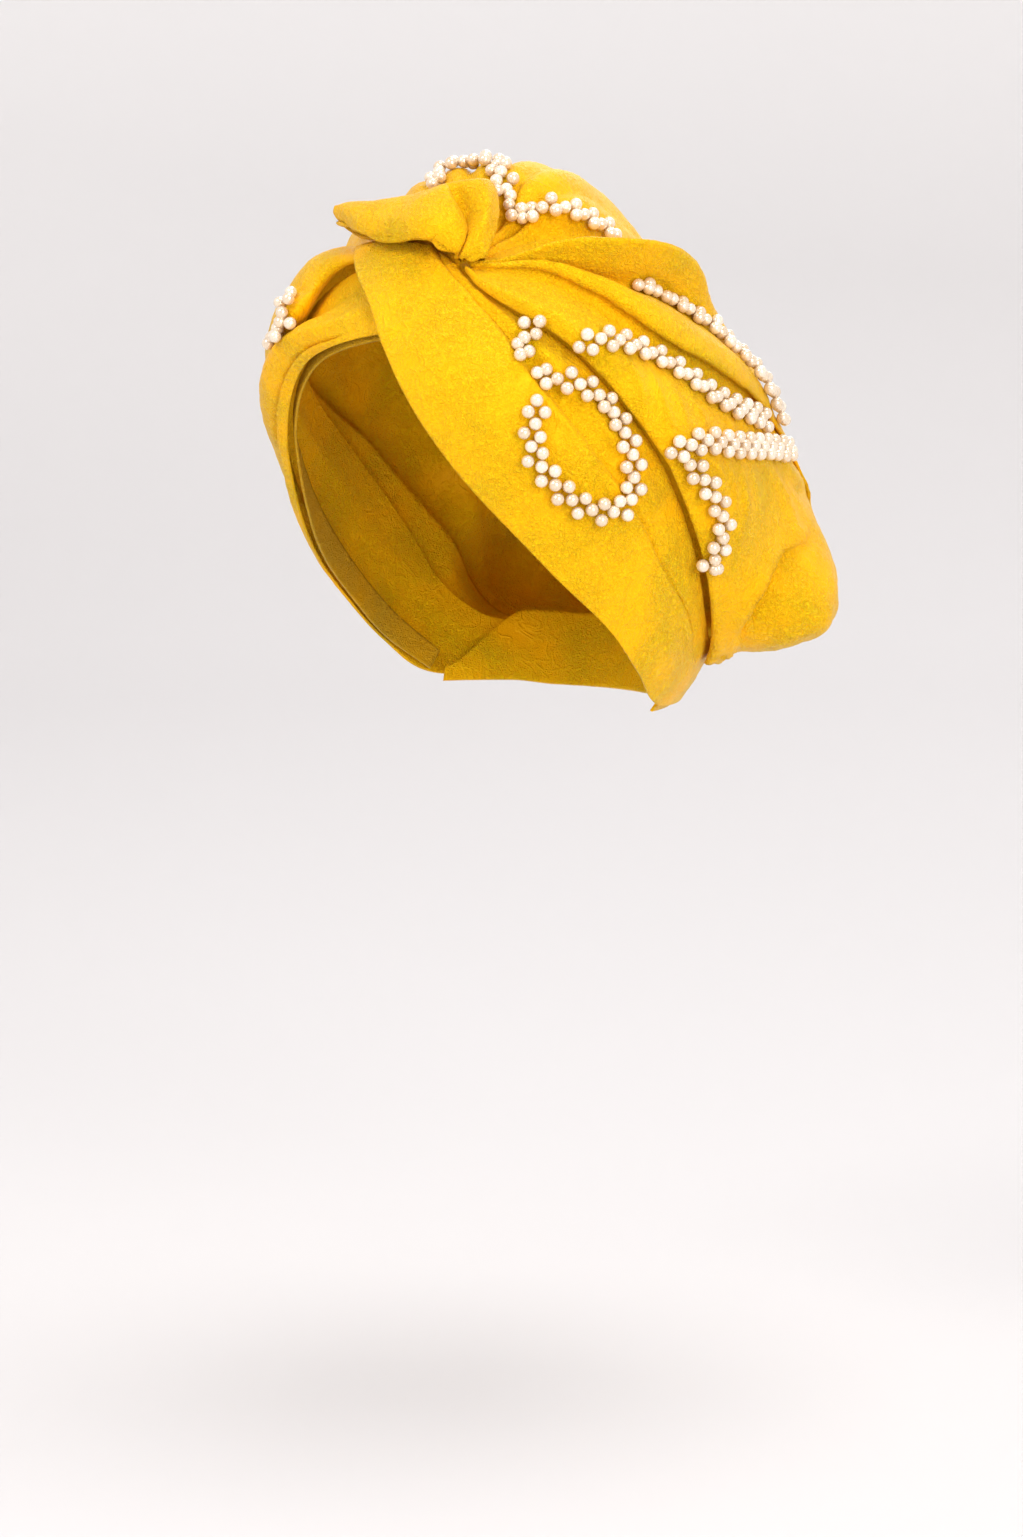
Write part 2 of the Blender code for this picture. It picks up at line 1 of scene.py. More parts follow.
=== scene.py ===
"""Turban head wrap: detailed cloth, pearls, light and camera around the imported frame.

Metres, +Z up; shapes are worked out in millimetres and scaled when a mesh is made.
The face looks along -Y and the wearer's left is +X.
"""

import math

import bmesh
import bpy
import numpy as np
from mathutils import Matrix, Vector, noise
from mathutils.bvhtree import BVHTree


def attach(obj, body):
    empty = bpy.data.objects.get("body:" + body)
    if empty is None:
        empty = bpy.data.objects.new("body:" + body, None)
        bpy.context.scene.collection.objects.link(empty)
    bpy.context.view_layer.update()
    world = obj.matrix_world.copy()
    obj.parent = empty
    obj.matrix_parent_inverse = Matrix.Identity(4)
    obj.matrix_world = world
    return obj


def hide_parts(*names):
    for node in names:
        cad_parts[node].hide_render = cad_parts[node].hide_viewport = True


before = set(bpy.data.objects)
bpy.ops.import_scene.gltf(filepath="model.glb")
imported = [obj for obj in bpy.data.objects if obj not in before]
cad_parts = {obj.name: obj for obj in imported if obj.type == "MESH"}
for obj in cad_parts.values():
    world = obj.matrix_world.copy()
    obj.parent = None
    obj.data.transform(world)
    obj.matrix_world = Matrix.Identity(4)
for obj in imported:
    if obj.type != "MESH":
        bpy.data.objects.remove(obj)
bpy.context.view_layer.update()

MM = 0.001

# Camera, in the photo's 1023 x 1537 frame
PHOTO_WIDTH = 1023
PHOTO_HEIGHT = 1537
SENSOR = 36.0
CAMERA_DISTANCE = 1.6
CAMERA_AZIMUTH = 50.0
CAMERA_ELEVATION = 4.0
PIXELS_PER_METRE = 2800.0
ORIGIN_PX = (525.0, 450.0)
FOCAL = PIXELS_PER_METRE * CAMERA_DISTANCE

# Head form in mm
HALF_WIDTH = 80.0
HALF_DEPTH = 82.0
TOP_HEIGHT = 81.0
LOWER_HEIGHT = 140.0
LEAN = 0.21
NECK_IN = 0.57
NECK_TOP = -30.0
NECK_SOFTNESS = 12.0

KNOT_AT = (36.2, -58.4, 68.4)
KNOT_RISE = 8.0
NAPE_LEVEL = -88.0
NAPE_RISE = 4.0
GATHER_LEVEL = -71.0
GATHER_RISE = 2.0
OVER_DIRECTION = (0.0, 0.3, 1.0)
BEARING_STEP = 4.0
BAND_LEVEL_RISE = 4.0

CLOTH = 0.9
HEM_CLOTH = 0.9

POUCH = (
    # level as a share of the head form's height, rise in mm, azimuth where it starts and is full
    (-0.495, 0.0, 117.0, 132.0),
    (-0.46, 5.0, 116.0, 131.0),
    (-0.42, 17.0, 113.0, 130.0),
    (-0.34, 31.0, 109.0, 129.0),
    (-0.27, 28.0, 109.0, 130.0),
    (-0.20, 20.5, 112.0, 134.0),
    (-0.12, 10.5, 115.0, 140.0),
    (0.00, 4.0, 114.0, 142.0),
    (0.14, 0.0, 110.0, 140.0),
)

PINCH_REACH = 0.012
REACHES = (0.06, 0.12, 0.20, 0.35, 0.45, 0.65, 0.95)
FOLDS = (
    # name, place across, bearing in degrees at each reach, rise in mm at each reach
    ("side_tuck", 0.0, (118, 111, 103, 101, 103, 106, 104), (4.8, 4.8, 4.8, 4.8, 4.8, 5.0, 4.8)),
    ("side_under", 1.0, (124, 116, 108, 106, 108, 111, 109), (4.8, 4.9, 5.0, 5.0, 5.0, 5.2, 5.0)),
    ("side_lip", 1.7, (129, 120.5, 112, 110, 112, 115, 113), (5.8, 6.4, 6.8, 7.0, 7.0, 7.5, 6.0)),
    ("side_crest", 2.7, (122, 114, 106, 104, 106, 109, 107), (7.0, 9.0, 10.0, 10.5, 10.5, 11.0, 8.0)),
    ("side_body", 4.5, (100, 94, 92, 93, 92, 92, 95), (6.0, 7.0, 8.0, 8.0, 8.0, 9.0, 7.0)),
    ("mid_valley", 6.5, (72, 70, 77, 83, 79, 68, 70), (5.0, 5.0, 5.0, 5.0, 5.0, 7.0, 5.0)),
    ("mid_under", 7.4, (65, 62, 69, 75.5, 71, 59, 61), (5.5, 6.2, 6.8, 7.0, 7.0, 8.0, 6.0)),
    ("mid_lip", 8.1, (66, 64.5, 72, 78.5, 74, 62, 64), (6.5, 8.2, 9.5, 10.0, 10.0, 9.5, 7.0)),
    ("mid_crest", 9.2, (62, 60, 66, 71, 67, 56, 58), (7.0, 9.5, 12.0, 12.5, 12.0, 10.0, 7.5)),
    ("ridge_foot", 10.8, (58, 56, 57.5, 52.5, 54, 51, 52), (6.0, 6.5, 6.0, 6.0, 6.5, 7.5, 5.0)),
    ("ridge_face", 11.8, (57, 55, 56.5, 50, 50.5, 47, 48), (6.5, 9.0, 13.0, 13.5, 9.0, 8.5, 6.0)),
    ("ridge", 12.8, (54, 52.5, 54, 46, 45, 42, 44), (7.0, 11.5, 19.5, 21.0, 10.5, 9.0, 7.0)),
    ("ridge_back", 14.0, (46, 45, 46, 38, 38, 36, 38), (6.0, 8.5, 13.0, 14.5, 8.0, 8.0, 6.0)),
    ("top_valley", 16.0, (30, 32, 36, 28, 26, 25, 28), (5.0, 5.5, 5.5, 4.5, 4.0, 7.0, 5.0)),
    ("top_hump", 19.0, (0, 2, 2, -8, -6, -4, 0), (5.0, 5.5, 18.0, 19.5, 12.0, 9.0, 6.0)),
    ("far_valley", 22.0, (-38, -38, -38, -40, -38, -34, -30), (4.5, 5.5, 16.0, 9.0, 7.0, 7.0, 5.0)),
    ("far_fold", 24.5, (-62, -62, -62, -66, -64, -58, -52), (4.2, 4.6, 8.0, 13.0, 11.0, 9.0, 6.0)),
    ("far_dip", 26.3, (-76, -74, -74, -82, -82, -76, -70), (4.0, 4.2, 6.0, 9.0, 8.0, 7.5, 5.0)),
    ("far_crest", 28.3, (-92, -90, -84, -101, -101, -95, -87), (4.0, 4.2, 7.0, 13.0, 12.0, 11.0, 8.0)),
    ("far_lip", 29.4, (-98, -97, -92, -111, -110, -104, -96), (3.6, 3.9, 6.0, 9.0, 9.0, 8.5, 6.0)),
    ("far_under", 30.1, (-95, -94, -89, -107, -106, -100, -92), (3.5, 3.9, 5.0, 5.0, 5.0, 5.2, 5.0)),
    ("far_tuck", 31.0, (-88, -87, -82, -101, -100, -94, -86), (3.5, 3.8, 4.8, 4.8, 4.8, 5.0, 4.8)),
)
CROWN_ROWS = 200
CROWN_COLUMNS = 242
NEAR_SIDE = 15.0
NEAR_DENSITY = 1.7

LEFT_BAND = (
    (-12, 69, 26, 71, 40, 65),
    (8, 55, 41, 57, 50, 56),
    (17, 40, 48, 47, 57, 50),
    (23, 26, 52, 38, 65, 43),
    (30, 9, 56, 28, 71, 34),
    (38, -8, 61, 16, 77, 21),
    (49, -26, 68, 0, 84, 3),
    (60, -41, 76, -18, 90, -17),
    (75, -57, 84, -36, 97, -36),
    (90, -73, 98, -54, 107, -54),
    (107, -86, 113, -71, 120, -66),
    (134, -88, 133, -79, 132, -70),
)
RIGHT_BAND = (
    (22, 45, 16, 60, 16, 66),
    (12, 45, 4, 59, 0, 70),
    (-2, 41, -8, 53, -14, 66),
    (-14, 35, -18, 47, -28, 58),
    (-23, 25, -29, 38, -38, 48),
    (-31, 10, -40, 27, -51, 36),
    (-39, -7, -51, 13, -63, 21),
    (-49, -26, -63, -2, -76, 3),
    (-60, -41, -75, -20, -87, -17),
    (-75, -57, -84, -37, -97, -36),
    (-90, -73, -98, -54, -107, -54),
    (-107, -86, -113, -71, -120, -66),
    (-134, -88, -133, -79, -132, -70),
)
BAND_ROWS = 230
BAND_COLUMNS = 84
CREASE_PLACE = 0.6
FOLD_CREST = 0.9
FOLD_WIDTHS = (0.05, 0.012)
VALLEY_DEPTH = 1.0
VALLEY_PLACE = 0.035
VALLEY_WIDTH = 0.022
LIP_PLACE = 0.045
LIP_RISE = 1.6
LIP_WIDTH = 0.022
GROOVE_PLACE = 0.1
GROOVE_DEPTH = 2.4
PROFILE_STATIONS = (0.0, 0.12, 0.35, 0.65, 1.0)
BAND_PROFILE = (
    (0.00, 8.6, 5.6, 2.8, 2.8, 3.0),
    (0.15, 8.4, 5.8, 4.4, 4.2, 3.2),
    (0.35, 7.6, 6.2, 6.0, 5.2, 3.4),
    (0.54, 6.8, 6.0, 6.4, 4.8, 3.2),
    (0.60, 6.4, 5.6, 5.4, 4.4, 3.0),
    (0.66, 5.6, 4.2, 3.6, 4.0, 2.8),
    (0.80, 4.2, 4.4, 6.0, 4.0, 2.6),
    (0.90, 2.8, 2.9, 3.6, 2.9, 2.6),
    (1.00, 2.4, 2.3, 2.3, 2.4, 2.5),
)
ROLL_PROFILE = (
    (0.00, 1.0, 1.4, 3.0, 2.8, 3.0),
    (0.10, 1.0, 1.8, 6.5, 4.0, 3.2),
    (0.25, 1.0, 2.6, 10.5, 6.0, 3.4),
    (0.42, 1.0, 2.6, 11.0, 6.0, 3.2),
    (0.56, 1.0, 1.8, 7.0, 4.2, 2.8),
    (0.64, 1.0, 1.4, 3.0, 3.0, 2.6),
    (0.80, 1.0, 1.4, 2.6, 2.6, 2.6),
    (0.90, 1.0, 1.4, 2.4, 2.5, 2.6),
    (1.00, 1.0, 1.4, 2.3, 2.4, 2.5),
)

HEM_RISE = -0.5
HEM_COLUMNS = 220
HEM_ROWS = 12
HEM_SHARE = 0.42
HEM_START_RIGHT = -0.07
HEM_START_LEFT = 0.08

# The knot's cloth as ribs: pixel across and down in the photo, and depth in mm towards a
# viewer who faces KNOT_FACING
KNOT_FACING = (50.0, 4.0)
LOBE_RIBS = (
    # low edge of the back layer, back, fold at the top, face, lip
    ((340, 223, 27), (340, 214, 27), (336, 208, 31), (334, 213, 33), (340, 220, 33)),
    ((349, 231, 31), (354, 218, 30), (352, 204, 36), (349, 214, 43), (355, 227, 42)),
    ((366, 239, 40), (378, 222, 36), (374, 202, 44), (372, 219, 54), (374, 236, 52)),
    ((394, 240, 50), (405, 224, 44), (403, 198, 52), (402, 220, 65), (402, 240, 61)),
    ((426, 242, 56), (431, 220, 50), (430, 191, 58), (429, 217, 72), (430, 240, 68)),
    ((443, 245, 60), (444, 216, 53), (445, 186, 60), (452, 220, 73), (443, 248, 71)),
    ((449, 248, 60), (447, 216, 53), (448, 193, 59), (466, 228, 69), (456, 255, 69)),
    ((449, 248, 58), (447, 219, 52), (446, 198, 56), (464, 230, 62), (456, 255, 64)),
)
LOBE_PLACES = (0.0, 0.18, 0.42, 0.72, 1.0)
LOBE_ROWS = 96
LOBE_COLUMNS = 84
WRAP_RIBS = (
    # back, fold at the top, face, foot
    ((438, 206, 46), (438, 187, 57), (452, 213, 64), (455, 255, 66)),
    ((453, 200, 46), (452, 184, 59), (466, 214, 64), (460, 255, 68)),
    ((464, 196, 46), (464, 181, 61), (476, 211, 68), (464, 257, 70)),
    ((479, 194, 46), (480, 179, 62), (486, 210, 71), (470, 258, 71)),
    ((489, 196, 46), (490, 181, 60), (493, 213, 68), (478, 259, 71)),
    ((492, 203, 45), (495, 190, 56), (497, 220, 63), (484, 258, 68)),
    ((488, 209, 44), (490, 194, 50), (488, 220, 55), (480, 256, 60)),
)
WRAP_PLACES = (0.0, 0.32, 0.64, 1.0)
WRAP_ROWS = 60
WRAP_COLUMNS = 60
FOLD_DROP = 1.2
FOLD_DEPTH = 2.6
FOLD_SHARE = 0.06
LIP_TURN = (0.0, 1.8, -3.6)
KNOT_WAVES = ((16.0, 0.5), (7.0, 0.22))
KNOT_PLEAT = 0.8
KNOT_SKEW = 5.0

NAPE_SPAN = 112.0
NAPE_EDGE = -91.0
NAPE_TOP = -66.0
NAPE_COLUMNS = 140
NAPE_ROWS = 24
NAPE_BAND_RISE = 2.6
NAPE_TUCK = 2.1
TUCK_FROM = 30.0
TUCK_FULL = 44.0
TAPER_FROM = 46.0
NAPE_TAPER = 0.8

# Strands of pearls in mm
PEARL = 4.6
PITCH = 1.7 * PEARL
SPREAD = 0.62 * PEARL
PEARL_SEAT = PEARL / 2 + 0.05
SEAT_STEPS = 40
DROP_FROM = 60.0
ROUTE_POINTS = 240
ROUTE_SMOOTHING = 4
LOOK_AHEAD = 2.0
PEARL_SEGMENTS = 20
PEARL_RINGS = 12
STRANDS = (
    # name, route as reach and bearing
    ("pearls_teardrop", ((0.345, 133), (0.36, 125), (0.395, 118), (0.45, 117.5), (0.52, 120), (0.59, 123.5),
                         (0.65, 128), (0.675, 134), (0.665, 141), (0.62, 146), (0.55, 147), (0.48, 142),
                         (0.42, 138))),
    ("pearls_short", ((0.30, 134.5), (0.26, 129), (0.225, 121), (0.215, 114))),
    ("pearls_arc", ((0.29, 110), (0.291, 101), (0.316, 92), (0.36, 87), (0.41, 85.5), (0.47, 84),
                    (0.53, 78.5), (0.60, 69))),
    ("pearls_side", ((0.56, 113.5), (0.545, 108), (0.54, 102), (0.56, 96.5), (0.59, 88), (0.63, 78),
                     (0.69, 65))),
    ("pearls_drop", ((0.59, 111.5), (0.62, 110), (0.66, 109.5), (0.70, 110.5), (0.735, 113), (0.775, 115.5))),
    ("pearls_ridge", ((0.28, 56), (0.33, 54), (0.38, 53.5), (0.43, 54), (0.48, 56), (0.54, 58), (0.65, 58))),
    ("pearls_top", ((0.18, -44), (0.235, -34), (0.215, -22), (0.18, -13), (0.15, -4), (0.14, 5),
                    (0.16, 13), (0.195, 18.5), (0.24, 22.5), (0.285, 25))),
    ("pearls_far", ((0.32, -104), (0.35, -110), (0.39, -114), (0.42, -112))),
)

# Finishes
SATIN_GRAINS = {
    # scale per metre, detail, distortion, sharpness of the ridges
    "worms": (520.0, 2.0, 1.8, 6.0),
    "strokes": (900.0, 1.0, 1.0, 7.0),
    "creases": (120.0, 2.0, 0.8, 16.0),
    "patches": (45.0, 2.0, 0.5, None),
    "broad": (12.0, 2.0, 0.3, None),
    "fine": (2200.0, 2.0, 0.0, None),
}
PATCH_GAIN = 1.8
PATCH_OFFSET = -0.35
SATIN_HEIGHTS = {"emboss": 1.0, "creases": 0.6, "fine": 0.35}
# Tone shares: the broad noise is random tone; the embossed lines, crinkles and fine grain lighten the satin
# where they stand raised, a painted highlight
SATIN_TONE_AND_HIGHLIGHT = {"emboss": 0.26, "broad": 0.2, "fine": 0.30, "creases": 0.05}
SATIN_BUMP = {"Strength": 0.85, "Distance": 0.00055}
SATIN_STOPS = (0.1, 0.32, 0.72)
SATIN_ROUGHNESS = (0.52, 0.34)
# Satin ramp from orange through yellow to the pale yellow of the painted highlight
SATIN_COLOURS_AND_HIGHLIGHT = ((0.86, 0.36, 0.0), (0.98, 0.48, 0.001), (1.0, 0.67, 0.004))
# The same yellow satin painted darker, as painted shade on the inside hem of the turban
HEM_SHADED_COLOURS = ((0.50, 0.22, 0.002), (0.60, 0.30, 0.004), (0.70, 0.42, 0.02))
SATIN_FINISH = {
    "Metallic": 0.0,
    "Specular IOR Level": 0.5,
    "Specular Tint": (1.0, 0.80, 0.15, 1.0),
    "Sheen Weight": 0.12,
    "Sheen Roughness": 0.3,
    "Sheen Tint": (1.0, 0.80, 0.20, 1.0),
}
PEARL_TONES = ((0.80, 0.62, 0.42), (0.94, 0.82, 0.66))
PEARL_CLOUDS = {"Scale": 900.0, "Detail": 2.0}
PEARL_BUMP = {"Strength": 0.12, "Distance": 0.0002}
PEARL_ROUGHNESS = (0.12, 0.24)
PEARL_FINISH = {
    "Metallic": 0.4,
    "Specular IOR Level": 0.7,
    "Coat Weight": 1.0,
    "Coat Roughness": 0.05,
    "Sheen Weight": 0.06,
    "Sheen Tint": (1.0, 0.82, 0.78, 1.0),
}
PAPER_FINISH = {"Roughness": 0.9}

# Stage
FLOOR_LEVEL = -0.35
PAPER_PALE_LEVEL = 0.5
# Floor paper painted darker than the wall paper, as painted shade on the floor
PAPER_FLOOR_SHADE = (0.68, 0.665, 0.67)
PAPER_WALL = (0.95, 0.935, 0.935)
BACKDROP = (
    # radius and level in metres
    (0.0, FLOOR_LEVEL),
    (1.7, FLOOR_LEVEL),
    (2.3, -0.30),
    (2.8, -0.12),
    (3.2, 0.25),
    (3.45, 0.8),
    (3.5, 3.6),
)
BACKDROP_ROWS = 60
BACKDROP_COLUMNS = 96
WORLD_COLOUR = (1.0, 0.985, 0.975, 1.0)
WORLD_STRENGTH = 0.69
WHITE = (1.0, 1.0, 1.0)
LIGHTS = (
    # name, place in metres, size in metres, power in watts, colour
    ("key", (0.1, -1.9, 1.7), (1.0, 1.0), 25.0, (1.0, 0.98, 0.95)),
    ("fill", (2.3, -0.6, 0.7), (1.0, 1.5), 31.0, WHITE),
    ("top", (0.3, 0.3, 2.2), (1.2, 1.2), 20.0, WHITE),
    ("rim", (-1.4, 1.8, 1.2), (1.2, 1.2), 9.0, WHITE),
)


def smooth_curve(x, stations, values):
    """Values of the smooth curve through the values at the stations (Catmull-Rom)."""
    stations = np.asarray(stations, float)
    values = np.asarray(values, float)
    x = np.clip(np.asarray(x, float), stations[0], stations[-1])
    slopes = np.empty_like(values)
    steps = np.diff(stations)
    lead = (slice(None),) + (None,) * (values.ndim - 1)
    rises = np.diff(values, axis=0) / steps[lead]
    slopes[0] = rises[0]
    slopes[-1] = rises[-1]
    before = steps[:-1][lead]
    after = steps[1:][lead]
    slopes[1:-1] = (rises[:-1] * after + rises[1:] * before) / (before + after)
    k = np.clip(np.searchsorted(stations, x, side="right") - 1, 0, len(steps) - 1)
    h = steps[k]
    w = (x - stations[k]) / h
    lift = (Ellipsis,) + (None,) * (values.ndim - 1)
    w = w[lift]
    h = h[lift]
    a = (1 + 2 * w) * (1 - w) ** 2
    b = w * (1 - w) ** 2 * h
    c = w * w * (3 - 2 * w)
    d = w * w * (w - 1) * h
    return a * values[k] + b * slopes[k] + c * values[k + 1] + d * slopes[k + 1]


def ease(x, low, high):
    """0 below low, 1 above high, and a smooth step between."""
    w = np.clip((np.asarray(x, float) - low) / (high - low), 0.0, 1.0)
    return w * w * (3 - 2 * w)


def axis_shift(z):
    """Depth of the head form's axis at a level."""
    drop = np.clip((NECK_TOP - z) / NECK_SOFTNESS, -40.0, 40.0)
    return -LEAN * z - NECK_IN * NECK_SOFTNESS * np.log1p(np.exp(drop))


def on_form(q, rise):
    """The point in mm that a unit vector stands for, at a rise above the head form."""
    height = np.where(q[..., 2] > 0, TOP_HEIGHT, LOWER_HEIGHT) + rise
    z = q[..., 2] * height
    x = q[..., 0] * (HALF_WIDTH + rise)
    y = q[..., 1] * (HALF_DEPTH + rise) + axis_shift(z)
    return np.stack([x, y, z], -1)


def to_unit(point, rise):
    """The unit vector of a point at a rise above the head form."""
    x, y, z = point
    height = (TOP_HEIGHT if z > 0 else LOWER_HEIGHT) + rise
    q = np.array([x / (HALF_WIDTH + rise), (y - float(axis_shift(z))) / (HALF_DEPTH + rise), z / height])
    return q / np.linalg.norm(q)


def by_azimuth(azimuth, level):
    """Unit vector at an azimuth in degrees (0 front, 90 wearer's left) and a level in mm."""
    azimuth = np.radians(np.asarray(azimuth, float))
    level = np.asarray(level, float)
    height = np.where(level > 0, TOP_HEIGHT, LOWER_HEIGHT) + BAND_LEVEL_RISE
    qz = np.clip(level / height, -0.999, 0.999)
    flat = np.sqrt(1 - qz * qz)
    return np.stack([np.sin(azimuth) * flat, -np.cos(azimuth) * flat, qz], -1)


class Meridians:
    """Circles on the unit sphere that all run from the knot to the nape."""

    def __init__(self):
        nape_share = NAPE_LEVEL / (LOWER_HEIGHT + NAPE_RISE)
        nape_depth = (HALF_DEPTH + NAPE_RISE) * math.sqrt(1 - nape_share ** 2)
        knot = to_unit(KNOT_AT, KNOT_RISE)
        nape = to_unit((0.0, float(axis_shift(NAPE_LEVEL)) + nape_depth, NAPE_LEVEL), NAPE_RISE)
        chord = nape - knot
        self.half = np.linalg.norm(chord) / 2
        self.middle = (knot + nape) / 2
        self.along = chord / np.linalg.norm(chord)
        over = np.array(OVER_DIRECTION)
        over -= self.along * (over @ self.along)
        self.over = over / np.linalg.norm(over)
        self.side = np.cross(self.along, self.over)
        self.bearings = np.radians(np.arange(-180.0, 180.0 + BEARING_STEP, BEARING_STEP))
        self.ends = self.gather_ends()

    def point(self, share, bearing):
        """Unit vector at a share of the way from knot to nape on a bearing in radians."""
        share, bearing = np.broadcast_arrays(np.asarray(share, float), np.asarray(bearing, float))
        out = np.cos(bearing)[..., None] * self.over + np.sin(bearing)[..., None] * self.side
        offset = -(out @ self.middle)
        radius = np.sqrt(1 - self.middle @ self.middle + offset ** 2)
        start = np.arctan2(-offset, -self.half)
        start = np.where(start < 0, start + 2 * np.pi, start)
        end = np.arctan2(-offset, self.half)
        end = np.where(end > start, end - 2 * np.pi, end)
        turn = start + (end - start) * share
        q = (self.middle + (radius * np.cos(turn))[..., None] * self.along
             + (offset + radius * np.sin(turn))[..., None] * out)
        return q / np.linalg.norm(q, axis=-1, keepdims=True)

    def gather_ends(self):
        """Share of each meridian at which it comes down to the gathered edge."""
        low = np.full_like(self.bearings, 0.2)
        high = np.full_like(self.bearings, 0.999)
        for _ in range(30):
            mid = (low + high) / 2
            above = on_form(self.point(mid, self.bearings), GATHER_RISE)[..., 2] > GATHER_LEVEL
            low = np.where(above, mid, low)
            high = np.where(above, high, mid)
        return low

    def reach(self, reach, bearing):
        """Unit vector at a reach, 0 at the knot and 1 at the gathered edge."""
        bearing = np.radians(bearing)
        return self.point(reach * np.interp(bearing, self.bearings, self.ends), bearing)


MERIDIANS = Meridians()


def pouch_rise(q):
    """Extra rise of the loose cloth at the back."""
    azimuth = np.degrees(np.arctan2(np.abs(q[..., 0]), -q[..., 1]))
    table = np.array(POUCH)
    row = smooth_curve(q[..., 2], table[:, 0], table[:, 1:])
    return row[..., 0] * ease(azimuth, row[..., 1], row[..., 2])


# Small folds. In each table the last numbers are the reach in mm of the soft side and of
# the steep side and the height in mm. The steep side is to the right going along the line.
# Lines read off the photo, as pixels across and down
PHOTO_LINES = {
    "side_gather_1": ((710, 458), (718, 470), (726, 490)),
    "side_gather_2": ((729, 466), (732, 482), (734, 498), (732, 514)),
    "side_gather_3": ((740, 466), (742, 486), (743, 506), (739, 526), (738, 542)),
    "side_gather_4": ((760, 462), (768, 472), (774, 486), (782, 510), (786, 534)),
    "side_gather_5": ((780, 464), (788, 476), (798, 490)),
    "upper_gather_1": ((648, 366), (654, 380), (660, 396), (668, 420), (670, 438)),
    "upper_gather_2": ((666, 380), (676, 396), (682, 412), (686, 428)),
    "upper_gather_3": ((690, 400), (700, 414), (704, 428)),
    "upper_gather_4": ((716, 412), (726, 420), (734, 432)),
    "panel_edge": ((714, 659), (726, 654), (738, 642), (742, 626), (748, 608), (758, 590), (770, 570),
                   (788, 548), (804, 530)),
    "panel_hollow": ((736, 650), (746, 630), (756, 610), (768, 594), (784, 570), (800, 550)),
    "panel_side": ((784, 466), (798, 490), (806, 516), (807, 528)),
    "pouch_eye": ((738, 644), (748, 640), (760, 642), (776, 647)),
    "pouch_hem": ((784, 645), (796, 639), (812, 632), (826, 624), (836, 614)),
    "band_fold_1": ((550, 406), (566, 424), (586, 444), (600, 462), (612, 480), (628, 496)),
    "band_fold_2": ((590, 406), (600, 420), (612, 440), (624, 456)),
    "band_fold_3": ((640, 472), (648, 492), (654, 512)),
    "puffed_roll": ((449, 258), (462, 268), (478, 283), (500, 303), (514, 318)),
}
PHOTO_FOLDS = {
    "crown": (
        ("side_gather_1", 1.4, 1.0, 1.2),
        ("side_gather_2", 1.6, 1.1, 1.4),
        ("side_gather_3", 1.8, 1.2, 1.7),
        ("side_gather_4", 2.6, 1.8, 2.1),
        ("side_gather_5", 2.6, 1.8, 2.1),
        ("upper_gather_1", 1.5, 1.1, 1.2),
        ("upper_gather_2", 1.5, 1.1, 1.2),
        ("upper_gather_3", 1.5, 1.1, 1.2),
        ("upper_gather_4", 1.8, 1.1, 1.2),
        ("panel_edge", 10.0, 0.9, 6.0),
        ("panel_hollow", 2.4, 8.0, -9.0),
        ("panel_side", 3.0, 7.0, 1.8),
        ("pouch_eye", 3.0, 1.0, 1.4),
        ("pouch_hem", 1.6, 1.2, 0.9),
    ),
    "left_band": (
        ("band_fold_1", 4.0, 1.2, 1.4),
        ("band_fold_2", 2.6, 1.4, 1.0),
        ("band_fold_3", 2.6, 1.4, 1.0),
        ("puffed_roll", 3.6, 2.6, 3.2),
    ),
}
# Straight soft folds: first azimuth and level, step of each, number of points
CHOSEN_FOLDS = {
    "crown": (
        (110.0, 0.0, 1.0, -8.0, 4, 2.4, 1.6, 1.0),
        (80.0, 35.0, 0.0, -8.0, 4, 1.8, 1.2, 0.9),
        (110.0, 14.0, 3.0, -4.0, 3, 1.8, 1.1, 1.2),
        (90.0, 60.0, 10.0, -2.0, 3, 2.5, 1.2, 1.0),
    ),
    "left_band": (
        (74.0, -32.0, 8.0, -11.0, 4, 7.0, 5.0, 0.9),
        (65.0, -25.0, 8.0, -12.0, 3, 6.0, 6.0, -0.7),
        (92.0, -60.0, 8.0, -10.0, 3, 4.0, 3.0, 0.9),
    ),
    "right_band": (
        (-20.0, 30.0, -7.0, -12.0, 4, 4.0, 3.0, -1.0),
        (6.0, 54.0, -11.0, -7.0, 4, 3.0, 1.5, 0.9),
        (2.0, 62.0, -11.0, -10.0, 4, 2.5, 1.5, 0.8),
    ),
}
# Fine pulled lines on the face of the left band, one below another
PULLED_LINES = 6
PULLED_START = (5.0, 57.0)
PULLED_DROP = (4.0, -7.0)
PULLED_RUN = (8.0, 3.0)
PULLED_POINTS = 4
PULLED_SHAPE = (0.9, 0.7, 0.3)
FORM_SIZE = 84.0
LINE_POINTS = 48
LINE_SPAN = (0.05, 0.9)
END_FADE = 0.6
FOLD_POWER = 1.6
CRUMPLE = (
    # wavelength in mm, height in mm, whether the waves are pinched into ridges
    (22.0, 0.55, False),
    (8.0, 0.28, False),
    (5.0, 0.22, True),
    (2.6, 0.10, True),
)
CLOTH_CENTRE = (0.0, 0.0, -20.0)
RIDGE_CREST = 1.6
RIDGE_HALF_WIDTH = 2.4
PLEATS = 11.0
FINE_PLEATS = 17.0
PLEAT_DRIFT = 9.0
PLEAT_MEAN = 0.6
PLEAT_HEIGHTS = {"near": 2.2, "back": 3.0, "fine": 1.2, "over": 2.0}


